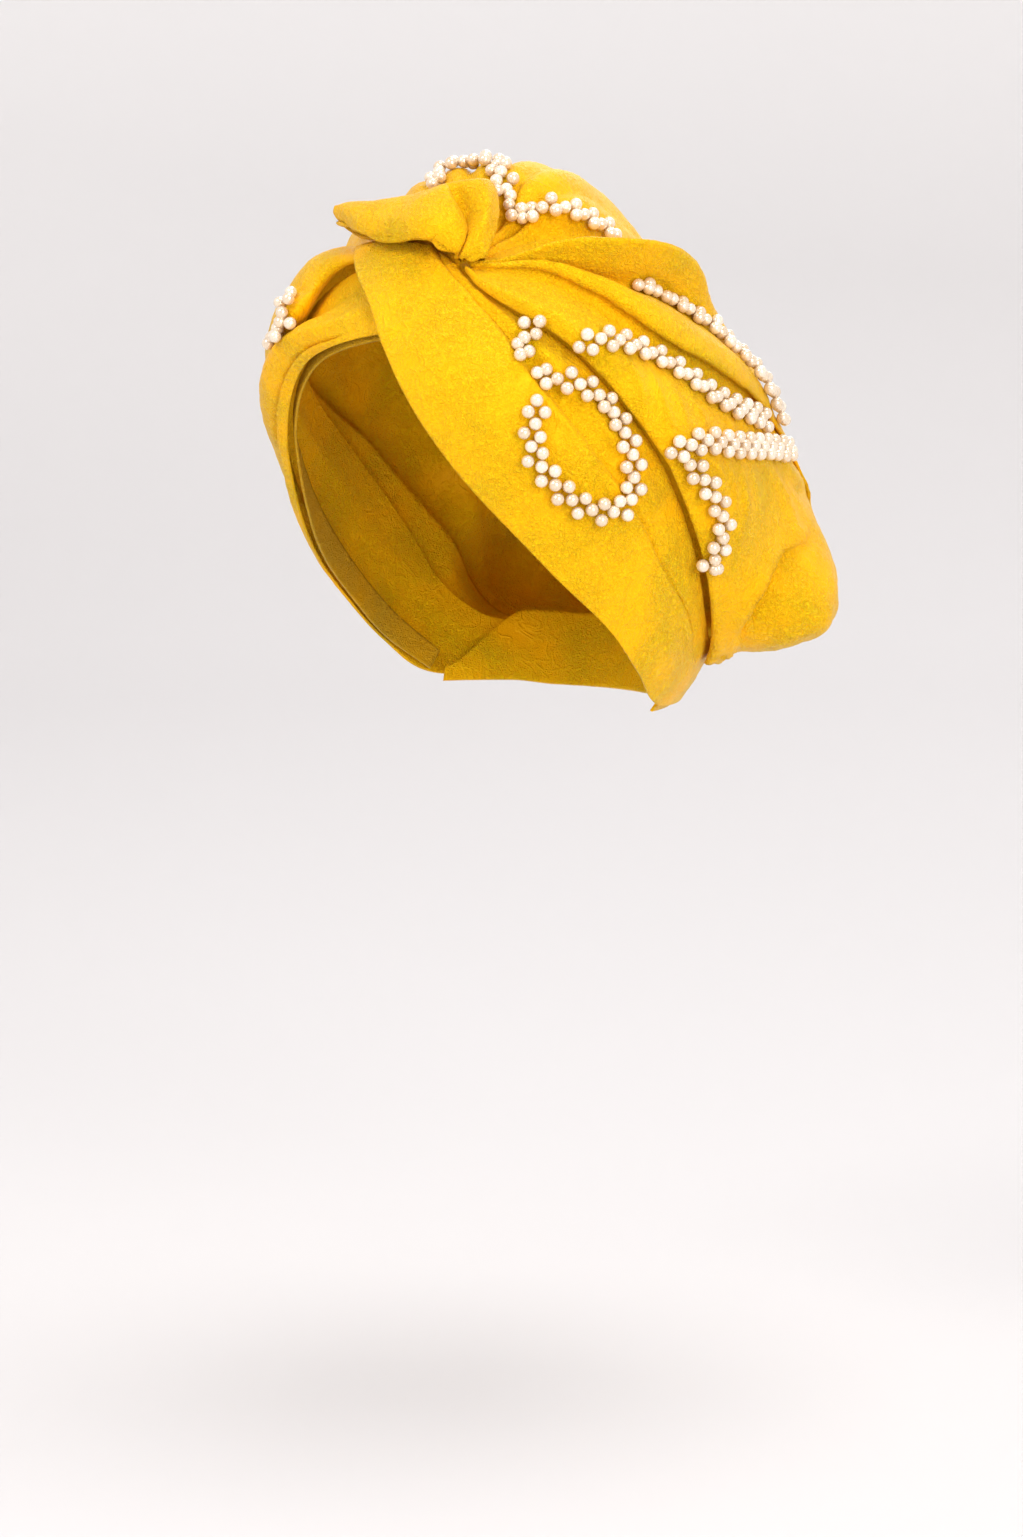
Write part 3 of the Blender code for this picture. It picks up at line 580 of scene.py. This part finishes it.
def camera_axes():
    """Place in metres and right, up and forward of the camera, its origin on its pixel."""
    azimuth = math.radians(CAMERA_AZIMUTH)
    elevation = math.radians(CAMERA_ELEVATION)
    place = Vector((math.sin(azimuth) * math.cos(elevation), -math.cos(azimuth) * math.cos(elevation),
                    math.sin(elevation))) * CAMERA_DISTANCE
    level = Vector((0.0, 0.0, 1.0))
    forward = (-place).normalized()
    right = forward.cross(level).normalized()
    pitch = math.atan((PHOTO_HEIGHT / 2 - ORIGIN_PX[1]) / FOCAL)
    forward = forward * math.cos(pitch) - right.cross(forward) * math.sin(pitch)
    right = forward.cross(level).normalized()
    yaw = math.atan((ORIGIN_PX[0] - PHOTO_WIDTH / 2) / FOCAL)
    forward = forward * math.cos(yaw) - right * math.sin(yaw)
    right = forward.cross(level).normalized()
    return place, right, right.cross(forward), forward


def pixel_ray(pixel):
    """Camera's place in mm and the direction in which it sees a pixel of the photo."""
    place, right, up, forward = camera_axes()
    across = (pixel[0] - PHOTO_WIDTH / 2) / FOCAL
    rise = (PHOTO_HEIGHT / 2 - pixel[1]) / FOCAL
    return place / MM, (forward + right * across + up * rise).normalized()


def seen_line(pixels, tree, rise):
    """Unit vectors of the cloth that the camera sees at pixels of the photo."""
    columns = rise.shape[1] - 1
    points = []
    for pixel in pixels:
        spot, _, face, _ = tree.ray_cast(*pixel_ray(pixel))
        if spot is not None:
            points.append(to_unit(spot, rise[face // columns, face % columns]))
    return np.array(points)


def small_folds(name, q, rise):
    """Lines and shapes of the small folds of a piece, each line as unit vectors."""
    grid = on_form(q, rise)
    tree = BVHTree.FromPolygons(grid.reshape(-1, 3).tolist(), grid_faces(*rise.shape))
    folds = []
    for line, *shape in PHOTO_FOLDS.get(name, ()):
        folds.append((seen_line(PHOTO_LINES[line], tree, rise), *shape))
    for azimuth, level, turn, drop, count, *shape in CHOSEN_FOLDS.get(name, ()):
        steps = np.arange(count)
        folds.append((by_azimuth(azimuth + turn * steps, level + drop * steps), *shape))
    return folds


def pulled_lines():
    """Fine lines that run up the face of the left band towards the knot."""
    steps = np.arange(PULLED_POINTS)
    folds = []
    for k in range(PULLED_LINES):
        azimuth = PULLED_START[0] + k * PULLED_DROP[0] + steps * PULLED_RUN[0]
        level = PULLED_START[1] + k * PULLED_DROP[1] + steps * PULLED_RUN[1]
        folds.append((by_azimuth(azimuth, level), *PULLED_SHAPE))
    return folds


def crease_rise(q, folds):
    """Rise of small folds at unit vectors q."""
    flat = q.reshape(-1, 3)
    total = np.zeros(len(flat))
    for points, soft, steep, height in folds:
        if len(points) < 2:
            continue
        line = smooth_curve(np.linspace(0.0, 1.0, LINE_POINTS), np.linspace(0.0, 1.0, len(points)), points)
        line /= np.linalg.norm(line, axis=1, keepdims=True)
        away = flat[:, None, :] - line[None, :, :]
        distance = np.linalg.norm(away, axis=2)
        nearest = distance.argmin(axis=1)
        gap = away[np.arange(len(flat)), nearest]
        ahead = np.gradient(line, axis=0)[nearest]
        side = np.einsum("ij,ij->i", np.cross(ahead, flat), gap)
        share = nearest / (len(line) - 1)
        width = np.where(side > 0, steep, soft) / FORM_SIZE
        fade = np.sin(np.pi * np.clip(share * LINE_SPAN[1] + LINE_SPAN[0], 0.0, 1.0)) ** END_FADE
        total += height * fade * np.exp(-(distance.min(axis=1) / width) ** FOLD_POWER)
    return total.reshape(q.shape[:-1])


def wander(points, scale, seed):
    """Smooth noise of a wavelength of about scale mm at points in mm."""
    shift = Vector((seed * 17.3, seed * 5.1, seed * 11.7))
    flat = points.reshape(-1, 3) / scale
    values = [noise.noise(Vector(p) + shift) for p in flat.tolist()]
    return np.array(values).reshape(points.shape[:-1])


def grid_normals(grid):
    """Unit normals of a grid of points, outward from the head."""
    normals = np.cross(np.gradient(grid, axis=0), np.gradient(grid, axis=1))
    normals /= np.linalg.norm(normals, axis=-1, keepdims=True) + 1e-9
    outward = grid - np.array(CLOTH_CENTRE)
    flip = np.sign(np.einsum("...i,...i->...", normals, outward))
    return normals * np.where(flip == 0, 1.0, flip)[..., None]


def crumple(grid, amount, seed):
    """Crushed surface: soft waves, small crinkles and fine wrinkles."""
    rise = np.zeros(grid.shape[:2])
    for step, (scale, height, pinched) in enumerate(CRUMPLE):
        wave = wander(grid, scale, seed + step)
        rise += height * (0.5 - np.abs(wave) * 2.0 if pinched else wave)
    rise = rise * amount
    return grid + grid_normals(grid) * rise[..., None]


def crown_table(reaches, places):
    """Bearing and rise of the folds for each reach and place."""
    marks = [fold[1] for fold in FOLDS]
    bearings = smooth_curve(reaches, REACHES, np.array([fold[2] for fold in FOLDS]).T)
    rises = smooth_curve(reaches, REACHES, np.array([fold[3] for fold in FOLDS]).T)
    return smooth_curve(places, marks, bearings.T).T, smooth_curve(places, marks, rises.T).T


def crown_grid():
    """Fine grid of the crown with its small folds."""
    reaches = PINCH_REACH + (1.0 - PINCH_REACH) * np.linspace(0.0, 1.0, CROWN_ROWS)
    last = FOLDS[-1][1]
    fine = np.linspace(0.0, last, 1200)
    probe = np.array([0.2, 0.35, 0.5, 0.7])
    bearing, rise = crown_table(probe, fine)
    points = on_form(MERIDIANS.reach(probe[:, None], bearing), rise)
    steps = np.linalg.norm(np.diff(points, axis=1), axis=2).mean(axis=0)
    density = np.where(fine[:-1] < NEAR_SIDE, NEAR_DENSITY, 1.0)
    lengths = np.concatenate([[0.0], np.cumsum(steps * density)])
    places = np.interp(np.linspace(0.0, lengths[-1], CROWN_COLUMNS), lengths, fine)
    bearing, rise = crown_table(reaches, places)
    q = MERIDIANS.reach(reaches[:, None], bearing)
    free = ease(places, 1.2, 2.4) * (1 - ease(places, 28.8, 29.6))
    rise = rise + pouch_rise(q) + free * gather_rise(reaches, bearing)
    rise = rise + free * crease_rise(q, small_folds("crown", q, rise))
    grid = on_form(q, rise)
    calm = 0.35 + 0.65 * np.broadcast_to(free, rise.shape)
    return crumple(grid, calm * ease(reaches, 0.06, 0.14)[:, None], 1.0)


def gather_rise(reaches, bearing):
    """Pleats that fan out of the knot and gather again at the nape."""
    reach = reaches[:, None] + 0.0 * bearing
    drift = PLEAT_DRIFT * np.sin(reach * 5.0 + bearing * 0.05)
    wave = np.abs(np.sin(np.radians((bearing + drift) * PLEATS)))
    near = (1 - ease(reach, 0.12, 0.42)) * ease(reach, 0.05, 0.10)
    back = ease(reach, 0.62, 0.95)
    far_side = 1 - ease(bearing, 10.0, 30.0)
    crest = [fold for fold in FOLDS if fold[0] == "ridge"][0]
    off = (bearing - smooth_curve(reaches, REACHES, crest[2])[:, None]) / RIDGE_HALF_WIDTH
    rim = RIDGE_CREST * np.exp(-off ** 2) * ease(reach, 0.08, 0.16) * (1 - ease(reach, 0.36, 0.42))
    fine = np.abs(np.sin(np.radians((bearing - drift) * FINE_PLEATS)))
    pleats = (PLEAT_HEIGHTS["near"] * near + PLEAT_HEIGHTS["back"] * back) * (wave ** 0.7 - PLEAT_MEAN)
    pleats += PLEAT_HEIGHTS["over"] * (wave - PLEAT_MEAN)
    return rim + far_side * pleats + PLEAT_HEIGHTS["fine"] * back * (fine ** 0.8 - PLEAT_MEAN)


def folded_edge(across):
    """Rise of the sharp fold along the crease of a band and the valley behind it."""
    off = across - CREASE_PLACE
    crest = FOLD_CREST * np.exp(-(off / np.where(off < 0, *FOLD_WIDTHS)) ** 2)
    return crest - VALLEY_DEPTH * np.exp(-((off - VALLEY_PLACE) / VALLEY_WIDTH) ** 2)


def turned_lip(across):
    """Narrow roll along the opening, with a groove between it and the main roll."""
    lip = LIP_RISE * np.exp(-((across - LIP_PLACE) / LIP_WIDTH) ** 2)
    return lip - GROOVE_DEPTH * np.exp(-((across - GROOVE_PLACE) / LIP_WIDTH) ** 2)


def band_grid(table, profile):
    """Fine grid of a band, from its opening edge to the edge under the crown."""
    table = np.array(table, float)
    along = np.linspace(0.0, 1.0, BAND_ROWS)
    section = smooth_curve(along, np.linspace(0.0, 1.0, len(table)), table)
    marks = [p[0] for p in profile]
    across = np.linspace(0.0, 1.0, BAND_COLUMNS)
    rises = smooth_curve(across, marks, np.array([p[1:] for p in profile]))
    edge = by_azimuth(section[:, 0], section[:, 1])
    crease = by_azimuth(section[:, 2], section[:, 3])
    top = by_azimuth(section[:, 4], section[:, 5])
    q = smooth_curve(across, (0.0, CREASE_PLACE, 1.0), np.stack([edge, crease, top]))
    q = np.transpose(q, (1, 0, 2))
    q /= np.linalg.norm(q, axis=-1, keepdims=True)
    rise = smooth_curve(along, PROFILE_STATIONS, rises.T)
    if profile is BAND_PROFILE:
        rise = rise + folded_edge(across) * (1 - ease(along, 0.80, 0.95))[:, None]
    else:
        rise = rise + turned_lip(across) * (ease(along, 0.12, 0.25) * (1 - ease(along, 0.75, 0.9)))[:, None]
    return q, rise, across


def grid_faces(rows, columns, closed=False):
    """Quads of a grid of points, row by row."""
    faces = []
    for i in range(rows - 1):
        for j in range(columns if closed else columns - 1):
            k = (j + 1) % columns
            faces.append((i * columns + j, i * columns + k, (i + 1) * columns + k, (i + 1) * columns + j))
    return faces


def make_mesh(name, grid, closed=False):
    """Mesh through a grid of points in mm."""
    mesh = bpy.data.meshes.new(name)
    mesh.from_pydata((grid.reshape(-1, 3) * MM).tolist(), [], grid_faces(*grid.shape[:2], closed))
    mesh.shade_smooth()
    return mesh


def add_piece(name, mesh, material, node):
    """Put a piece in the scene, on the root body, in place of a CAD node."""
    mesh.materials.append(material)
    piece = bpy.data.objects.new(name, mesh)
    bpy.context.scene.collection.objects.link(piece)
    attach(piece, "root")
    if node:
        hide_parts(node)
    return piece


def add_cloth(name, grid, material, node, closed=False, thickness=CLOTH):
    """A cloth wall through a grid of points in mm."""
    piece = add_piece(name, make_mesh(name, grid, closed), material, node)
    wall = piece.modifiers.new("wall", "SOLIDIFY")
    wall.thickness = thickness * MM
    wall.offset = 0.0
    return piece


# Materials

def new_material(name, finish):
    """Material with a Principled shader whose sockets are set from a finish."""
    material = bpy.data.materials.new(name)
    material.use_nodes = True
    shader = material.node_tree.nodes["Principled BSDF"]
    for socket, value in finish.items():
        shader.inputs[socket].default_value = value
    return material, material.node_tree, shader


def add_node(tree, kind, inputs):
    """Node with some of its inputs set."""
    node = tree.nodes.new(kind)
    for socket, value in inputs.items():
        node.inputs[socket].default_value = value
    return node


def math_node(tree, operation, first, second=None, clamp=False):
    """Output of a math node on values or sockets."""
    node = tree.nodes.new("ShaderNodeMath")
    node.operation = operation
    node.use_clamp = clamp
    for socket, value in zip(node.inputs, (first, second)):
        if value is None:
            continue
        if isinstance(value, (int, float)):
            socket.default_value = value
        else:
            tree.links.new(value, socket)
    return node.outputs[0]


def noise_at(tree, place, scale, detail, distortion):
    """Noise over the object's own coordinates."""
    node = add_node(tree, "ShaderNodeTexNoise", {"Scale": scale, "Detail": detail, "Distortion": distortion})
    tree.links.new(place, node.inputs["Vector"])
    return node.outputs["Fac"]


def ridged(tree, value, sharpness):
    """Thin ridges along the middle level of a noise."""
    size = math_node(tree, "ABSOLUTE", math_node(tree, "SUBTRACT", value, 0.5))
    return math_node(tree, "SUBTRACT", 1.0, math_node(tree, "MULTIPLY", size, sharpness), clamp=True)


def mixed(tree, parts, shares):
    """Sum of the parts, each times its share."""
    total = None
    for name, share in shares.items():
        part = parts[name] if share == 1.0 else math_node(tree, "MULTIPLY", parts[name], share)
        total = part if total is None else math_node(tree, "ADD", total, part)
    return total


def colour_ramp(tree, fac, stops, colours):
    """Colours between stops, driven by a factor."""
    ramp = tree.nodes.new("ShaderNodeValToRGB")
    first, last = ramp.color_ramp.elements
    first.position, last.position = stops[0], stops[-1]
    first.color, last.color = (*colours[0], 1.0), (*colours[-1], 1.0)
    for stop, colour in zip(stops[1:-1], colours[1:-1]):
        ramp.color_ramp.elements.new(stop).color = (*colour, 1.0)
    tree.links.new(fac, ramp.inputs["Fac"])
    return ramp.outputs["Color"]


def ranged(tree, value, low, high):
    """A value from 0 to 1 spread between two others."""
    node = add_node(tree, "ShaderNodeMapRange", {"To Min": low, "To Max": high})
    tree.links.new(value, node.inputs["Value"])
    return node.outputs["Result"]


def bumped(tree, shader, height, settings):
    """Bump a shader's surface with a height."""
    bump = add_node(tree, "ShaderNodeBump", settings)
    tree.links.new(height, bump.inputs["Height"])
    tree.links.new(bump.outputs["Normal"], shader.inputs["Normal"])


def satin_material(name, colours):
    """Crushed satin: worm-like embossing in patches, a fine grain, a soft sheen and a painted highlight where
    the embossing stands raised.
    """
    material, tree, shader = new_material(name, SATIN_FINISH)
    place = tree.nodes.new("ShaderNodeTexCoord").outputs["Object"]
    parts = {}
    for grain, (scale, detail, distortion, sharpness) in SATIN_GRAINS.items():
        value = noise_at(tree, place, scale, detail, distortion)
        parts[grain] = value if sharpness is None else ridged(tree, value, sharpness)
    strength = math_node(tree, "MULTIPLY_ADD", parts["patches"], PATCH_GAIN, clamp=True)
    strength.node.inputs[2].default_value = PATCH_OFFSET
    lines = math_node(tree, "ADD", parts["worms"], parts["strokes"])
    parts["emboss"] = math_node(tree, "MULTIPLY", lines, strength)
    height = mixed(tree, parts, SATIN_HEIGHTS)
    bumped(tree, shader, height, SATIN_BUMP)
    # Colour: random tone from the broad noise, plus a painted highlight that is lighter yellow where the
    # embossing stands raised
    colour = colour_ramp(tree, mixed(tree, parts, SATIN_TONE_AND_HIGHLIGHT), SATIN_STOPS, colours)
    tree.links.new(colour, shader.inputs["Base Color"])
    tree.links.new(ranged(tree, height, *SATIN_ROUGHNESS), shader.inputs["Roughness"])
    return material


def pearl_material():
    """Glossy cream coating, a little different from bead to bead."""
    material, tree, shader = new_material("pearl_coating", PEARL_FINISH)
    tone = tree.nodes.new("ShaderNodeAttribute")
    tone.attribute_name = "bead_tone"
    colour = colour_ramp(tree, tone.outputs["Fac"], (0.0, 1.0), PEARL_TONES)
    tree.links.new(colour, shader.inputs["Base Color"])
    place = tree.nodes.new("ShaderNodeTexCoord").outputs["Object"]
    cloud = add_node(tree, "ShaderNodeTexNoise", PEARL_CLOUDS)
    tree.links.new(place, cloud.inputs["Vector"])
    tree.links.new(ranged(tree, cloud.outputs["Fac"], *PEARL_ROUGHNESS), shader.inputs["Roughness"])
    bumped(tree, shader, cloud.outputs["Fac"], PEARL_BUMP)
    return material


def paper_material():
    """Matt backdrop paper with painted shade: darker on the floor than up the wall."""
    material, tree, shader = new_material("backdrop_paper_shaded_floor", PAPER_FINISH)
    place = tree.nodes.new("ShaderNodeTexCoord").outputs["Object"]
    split = tree.nodes.new("ShaderNodeSeparateXYZ")
    tree.links.new(place, split.inputs[0])
    share = add_node(tree, "ShaderNodeMapRange", {"From Min": FLOOR_LEVEL, "From Max": PAPER_PALE_LEVEL})
    tree.links.new(split.outputs["Z"], share.inputs["Value"])
    colour = colour_ramp(tree, share.outputs["Result"], (0.0, 1.0), (PAPER_FLOOR_SHADE, PAPER_WALL))
    tree.links.new(colour, shader.inputs["Base Color"])
    return material


# Pieces

def make_crown(material):
    return add_cloth("crown_cloth", crown_grid(), material, "crown")


def make_left_band(material):
    q, rise, across = band_grid(LEFT_BAND, BAND_PROFILE)
    folds = small_folds("left_band", q, rise) + pulled_lines()
    calm = 0.35 + 0.65 * ease(across, 0.0, 0.1) * (1 - ease(across, 0.8, 0.95))
    grid = crumple(on_form(q, rise + crease_rise(q, folds)), calm, 3.0)
    return add_cloth("left_band_cloth", grid, material, "left_band")


def make_right_band(material):
    q, rise, across = band_grid(RIGHT_BAND, ROLL_PROFILE)
    folds = small_folds("right_band", q, rise)
    calm = 0.3 + 0.5 * ease(across, 0.0, 0.1) * (1 - ease(across, 0.6, 0.7))
    grid = crumple(on_form(q, rise + crease_rise(q, folds)), calm, 5.0)
    return add_cloth("right_band_cloth", grid[:, ::-1], material, "right_band")


def make_inner_band(material):
    right = [row[:4] + (HEM_START_RIGHT,) for row in reversed(RIGHT_BAND[1:-1])]
    left = [row[:4] + (HEM_START_LEFT,) for row in LEFT_BAND[2:-1]]
    table = np.array(right + left, float)
    section = smooth_curve(np.linspace(0.0, 1.0, HEM_COLUMNS), np.linspace(0.0, 1.0, len(table)), table)
    edge = by_azimuth(section[:, 0], section[:, 1])
    crease = by_azimuth(section[:, 2], section[:, 3])
    share = (section[:, 4:5] + np.linspace(0.0, HEM_SHARE, HEM_ROWS))[..., None]
    q = edge[:, None] * (1 - share) + crease[:, None] * share
    q /= np.linalg.norm(q, axis=-1, keepdims=True)
    grid = crumple(on_form(q, HEM_RISE), 0.3, 9.0)
    return add_cloth("inner_hem", grid, material, "inner_band", False, HEM_CLOTH)


def make_nape_band(material):
    azimuth, level = np.meshgrid(np.linspace(NAPE_SPAN, 360.0 - NAPE_SPAN, NAPE_COLUMNS),
                                 np.linspace(NAPE_EDGE, NAPE_TOP, NAPE_ROWS), indexing="ij")
    tuck = ease(np.abs(180.0 - azimuth), TUCK_FROM, TUCK_FULL)
    taper = NAPE_TAPER * ease(np.abs(180.0 - azimuth), TAPER_FROM, 180.0 - NAPE_SPAN)
    level = NAPE_EDGE + (level - NAPE_EDGE) * (1 - taper)
    grid = on_form(by_azimuth(azimuth, level), NAPE_BAND_RISE - NAPE_TUCK * tuck)
    return add_cloth("nape_cloth", crumple(grid, 0.3, 13.0), material, "nape_band")


def form_normal(point):
    """Outward direction of the head form near a point in mm."""
    x, y, z = point
    height = TOP_HEIGHT if z > 0 else LOWER_HEIGHT
    normal = np.array([x / HALF_WIDTH ** 2, (y - float(axis_shift(z))) / HALF_DEPTH ** 2, z / height ** 2])
    return normal / np.linalg.norm(normal)


def knot_axes():
    """Right, up and towards the viewer for someone who looks at the knot."""
    azimuth, elevation = np.radians(KNOT_FACING)
    right = np.array([math.cos(azimuth), math.sin(azimuth), 0.0])
    towards = np.array([math.sin(azimuth) * math.cos(elevation), -math.cos(azimuth) * math.cos(elevation),
                        math.sin(elevation)])
    return np.array([right, np.cross(towards, right), towards])


def seen_at_depth(across, down, depth):
    """Right, up and towards in mm of what the photo shows at a pixel and a depth."""
    place, ray = map(np.array, pixel_ray((across, down)))
    axes = knot_axes()
    return axes @ (place + ray * (depth - place @ axes[2]) / (ray @ axes[2]))


def rib_grid(ribs, places, fold, rows, columns):
    """Folded cloth through ribs; the top fold at one of the places gets a small radius."""
    table = np.array([[seen_at_depth(*spot) for spot in rib] for rib in ribs])
    behind = table[:, fold] - np.array([0.0, FOLD_DROP, FOLD_DEPTH])
    turned = table[:, -1] + np.array(LIP_TURN)
    table = np.concatenate([table[:, :fold], behind[:, None], table[:, fold:], turned[:, None]], axis=1)
    marks = list(places[:fold]) + [places[fold] - FOLD_SHARE] + list(places[fold:]) + [1.0 + FOLD_SHARE]
    rows = smooth_curve(np.linspace(0.0, 1.0, rows), np.linspace(0.0, 1.0, len(table)), table)
    grid = smooth_curve(np.linspace(0.0, marks[-1], columns), marks, rows.transpose(1, 0, 2))
    return grid.transpose(1, 0, 2) @ knot_axes()


def knot_creases(grid, seed, gathers):
    """Soft folds that run out of the pinch of the knot along the cloth."""
    rows, columns = grid.shape[:2]
    along = np.linspace(0.0, 1.0, rows)[:, None]
    across = np.linspace(0.0, 1.0, columns)[None, :]
    rise = KNOT_PLEAT * np.sin(gathers * 2 * np.pi * along + KNOT_SKEW * across) * ease(across, 0.6, 0.95)
    for step, (scale, height) in enumerate(KNOT_WAVES):
        rise += height * wander(grid, scale, seed + step)
    return grid + grid_normals(grid) * rise[..., None]


def make_knot_loop(material):
    grid = rib_grid(LOBE_RIBS, LOBE_PLACES, 2, LOBE_ROWS, LOBE_COLUMNS)
    return add_cloth("knot_lobe", crumple(knot_creases(grid, 4.0, 3.0), 0.5, 4.0), material, "knot_loop")


def make_knot_wrap(material):
    grid = rib_grid(WRAP_RIBS, WRAP_PLACES, 1, WRAP_ROWS, WRAP_COLUMNS)
    return add_cloth("knot_fold", crumple(knot_creases(grid, 6.0, 2.0), 0.4, 6.0), material, "knot_wrap")


def cloth_tree(objects):
    """Search tree over the finished cloth, in mm."""
    graph = bpy.context.evaluated_depsgraph_get()
    work = bmesh.new()
    for obj in objects:
        work.from_mesh(obj.evaluated_get(graph).to_mesh())
    bmesh.ops.scale(work, vec=(1 / MM, 1 / MM, 1 / MM), verts=work.verts)
    tree = BVHTree.FromBMesh(work)
    work.free()
    return tree


def drop_on(tree, q):
    """Point of the cloth under a unit vector, in mm."""
    start = Vector(on_form(q, DROP_FROM))
    end = Vector(on_form(q, 0.0))
    return np.array(tree.ray_cast(start, (end - start).normalized())[0])


def seat(tree, centre):
    """Move a pearl off the cloth until it only just clears it."""
    centre = Vector(centre)
    for _ in range(SEAT_STEPS):
        spot, _, _, distance = tree.find_nearest(centre)
        if distance >= PEARL_SEAT:
            break
        off = (centre - spot).normalized()
        if off @ Vector(form_normal(np.array(spot))) < 0:
            off = -off
        centre = spot + off * (PEARL_SEAT + 0.01)
    return centre


def along_path(lengths, values, place):
    return np.array([np.interp(place, lengths, values[:, k]) for k in range(3)])


def pearl_rows(route, tree):
    """Centres of the pearls as lists of one, then two, along the route, in mm."""
    route = np.array(route, float)
    fine = smooth_curve(np.linspace(0.0, 1.0, ROUTE_POINTS), np.linspace(0.0, 1.0, len(route)), route)
    spots = np.array([drop_on(tree, MERIDIANS.reach(np.array(a), np.array(b))) for a, b in fine])
    normals = np.array([form_normal(spot) for spot in spots])
    width = 2 * ROUTE_SMOOTHING + 1
    padded = np.pad(spots + normals * PEARL_SEAT, ((ROUTE_SMOOTHING, ROUTE_SMOOTHING), (0, 0)), mode="edge")
    points = np.stack([np.convolve(padded[:, k], np.ones(width) / width, "valid") for k in range(3)], -1)
    lengths = np.concatenate([[0.0], np.cumsum(np.linalg.norm(np.diff(points, axis=0), axis=1))])
    count = int(lengths[-1] / (PITCH / 2))
    rows = []
    for k in range(count + 1):
        place = lengths[-1] * k / count
        centre = along_path(lengths, points, place)
        ahead = along_path(lengths, points, place + LOOK_AHEAD)
        ahead -= along_path(lengths, points, place - LOOK_AHEAD)
        side = np.cross(along_path(lengths, normals, place), ahead)
        side *= SPREAD / np.linalg.norm(side)
        if k % 2 == 0:
            rows.append([seat(tree, centre)])
        else:
            rows.append([seat(tree, centre + side), seat(tree, centre - side)])
    return rows


def make_strand(name, route, tree, material, random):
    """Round pearls of one strand in one mesh, each with its own tone."""
    work = bmesh.new()
    tone = work.verts.layers.float.new("bead_tone")
    for row in pearl_rows(route, tree):
        for centre in row:
            turn = Matrix.Rotation(random.uniform(0, math.pi), 4, Vector(random.uniform(-1, 1, 3)))
            radius = PEARL / 2 * MM * random.uniform(0.95, 1.0)
            place = Matrix.Translation(centre * MM) @ turn
            new = bmesh.ops.create_uvsphere(work, u_segments=PEARL_SEGMENTS, v_segments=PEARL_RINGS,
                                            radius=radius, matrix=place)
            value = random.uniform(0.0, 1.0)
            for vert in new["verts"]:
                vert[tone] = value
    mesh = bpy.data.meshes.new(name)
    work.to_mesh(mesh)
    work.free()
    mesh.shade_smooth()
    return add_piece(name + "_beads", mesh, material, name)


# Camera, stage and light

def make_camera():
    """Camera at the photo's angle."""
    place, right, up, forward = camera_axes()
    camera = bpy.data.objects.new("camera", bpy.data.cameras.new("camera"))
    bpy.context.scene.collection.objects.link(camera)
    camera.data.sensor_width = SENSOR
    camera.data.lens = FOCAL * SENSOR / PHOTO_HEIGHT
    camera.data.clip_start = 0.05
    camera.data.clip_end = 30.0
    matrix = Matrix((right, up, -forward)).transposed().to_4x4()
    matrix.translation = place
    camera.matrix_world = matrix
    bpy.context.scene.camera = camera


def add_light(name, place, size, power, colour):
    data = bpy.data.lights.new(name, "AREA")
    data.shape = "RECTANGLE"
    data.size, data.size_y = size
    data.energy = power
    data.color = colour
    light = bpy.data.objects.new(name, data)
    light.location = place
    light.rotation_euler = (-Vector(place)).to_track_quat("-Z", "Y").to_euler()
    light.visible_camera = False
    bpy.context.scene.collection.objects.link(light)


def make_stage():
    """Pale floor that curves up into a round backdrop, with large soft lights."""
    profile = np.array(BACKDROP)
    fine = smooth_curve(np.linspace(0.0, 1.0, BACKDROP_ROWS), np.linspace(0.0, 1.0, len(profile)), profile)
    turn = np.linspace(0.0, 2 * np.pi, BACKDROP_COLUMNS, endpoint=False)
    grid = np.stack([fine[:, :1] * np.cos(turn), fine[:, :1] * np.sin(turn),
                     np.repeat(fine[:, 1:], len(turn), axis=1)], -1)
    grid[0, :, :2] = 0.001 * grid[1, :, :2]
    mesh = make_mesh("backdrop", grid / MM, closed=True)
    mesh.materials.append(paper_material())
    backdrop = bpy.data.objects.new("backdrop", mesh)
    bpy.context.scene.collection.objects.link(backdrop)
    world = bpy.data.worlds.new("studio")
    world.use_nodes = True
    world.node_tree.nodes["Background"].inputs["Color"].default_value = WORLD_COLOUR
    world.node_tree.nodes["Background"].inputs["Strength"].default_value = WORLD_STRENGTH
    bpy.context.scene.world = world
    for name, place, size, power, colour in LIGHTS:
        add_light(name, place, size, power, colour)


make_camera()
satin = satin_material("yellow_satin", SATIN_COLOURS_AND_HIGHLIGHT)
# Darker copy of the satin: painted shade on the inside hem
hem = satin_material("shaded_hem_satin", HEM_SHADED_COLOURS)
pearl = pearl_material()

crown = make_crown(satin)
left = make_left_band(satin)
right = make_right_band(satin)
inner = make_inner_band(hem)
nape = make_nape_band(satin)
lobe = make_knot_loop(satin)
wrap = make_knot_wrap(satin)

cloth = [crown, left, right, inner, nape, lobe, wrap]
tree = cloth_tree(cloth)
random = np.random.default_rng(7)
for name, route in STRANDS:
    make_strand(name, route, tree, pearl, random)

make_stage()
bpy.context.scene.view_settings.view_transform = "Standard"
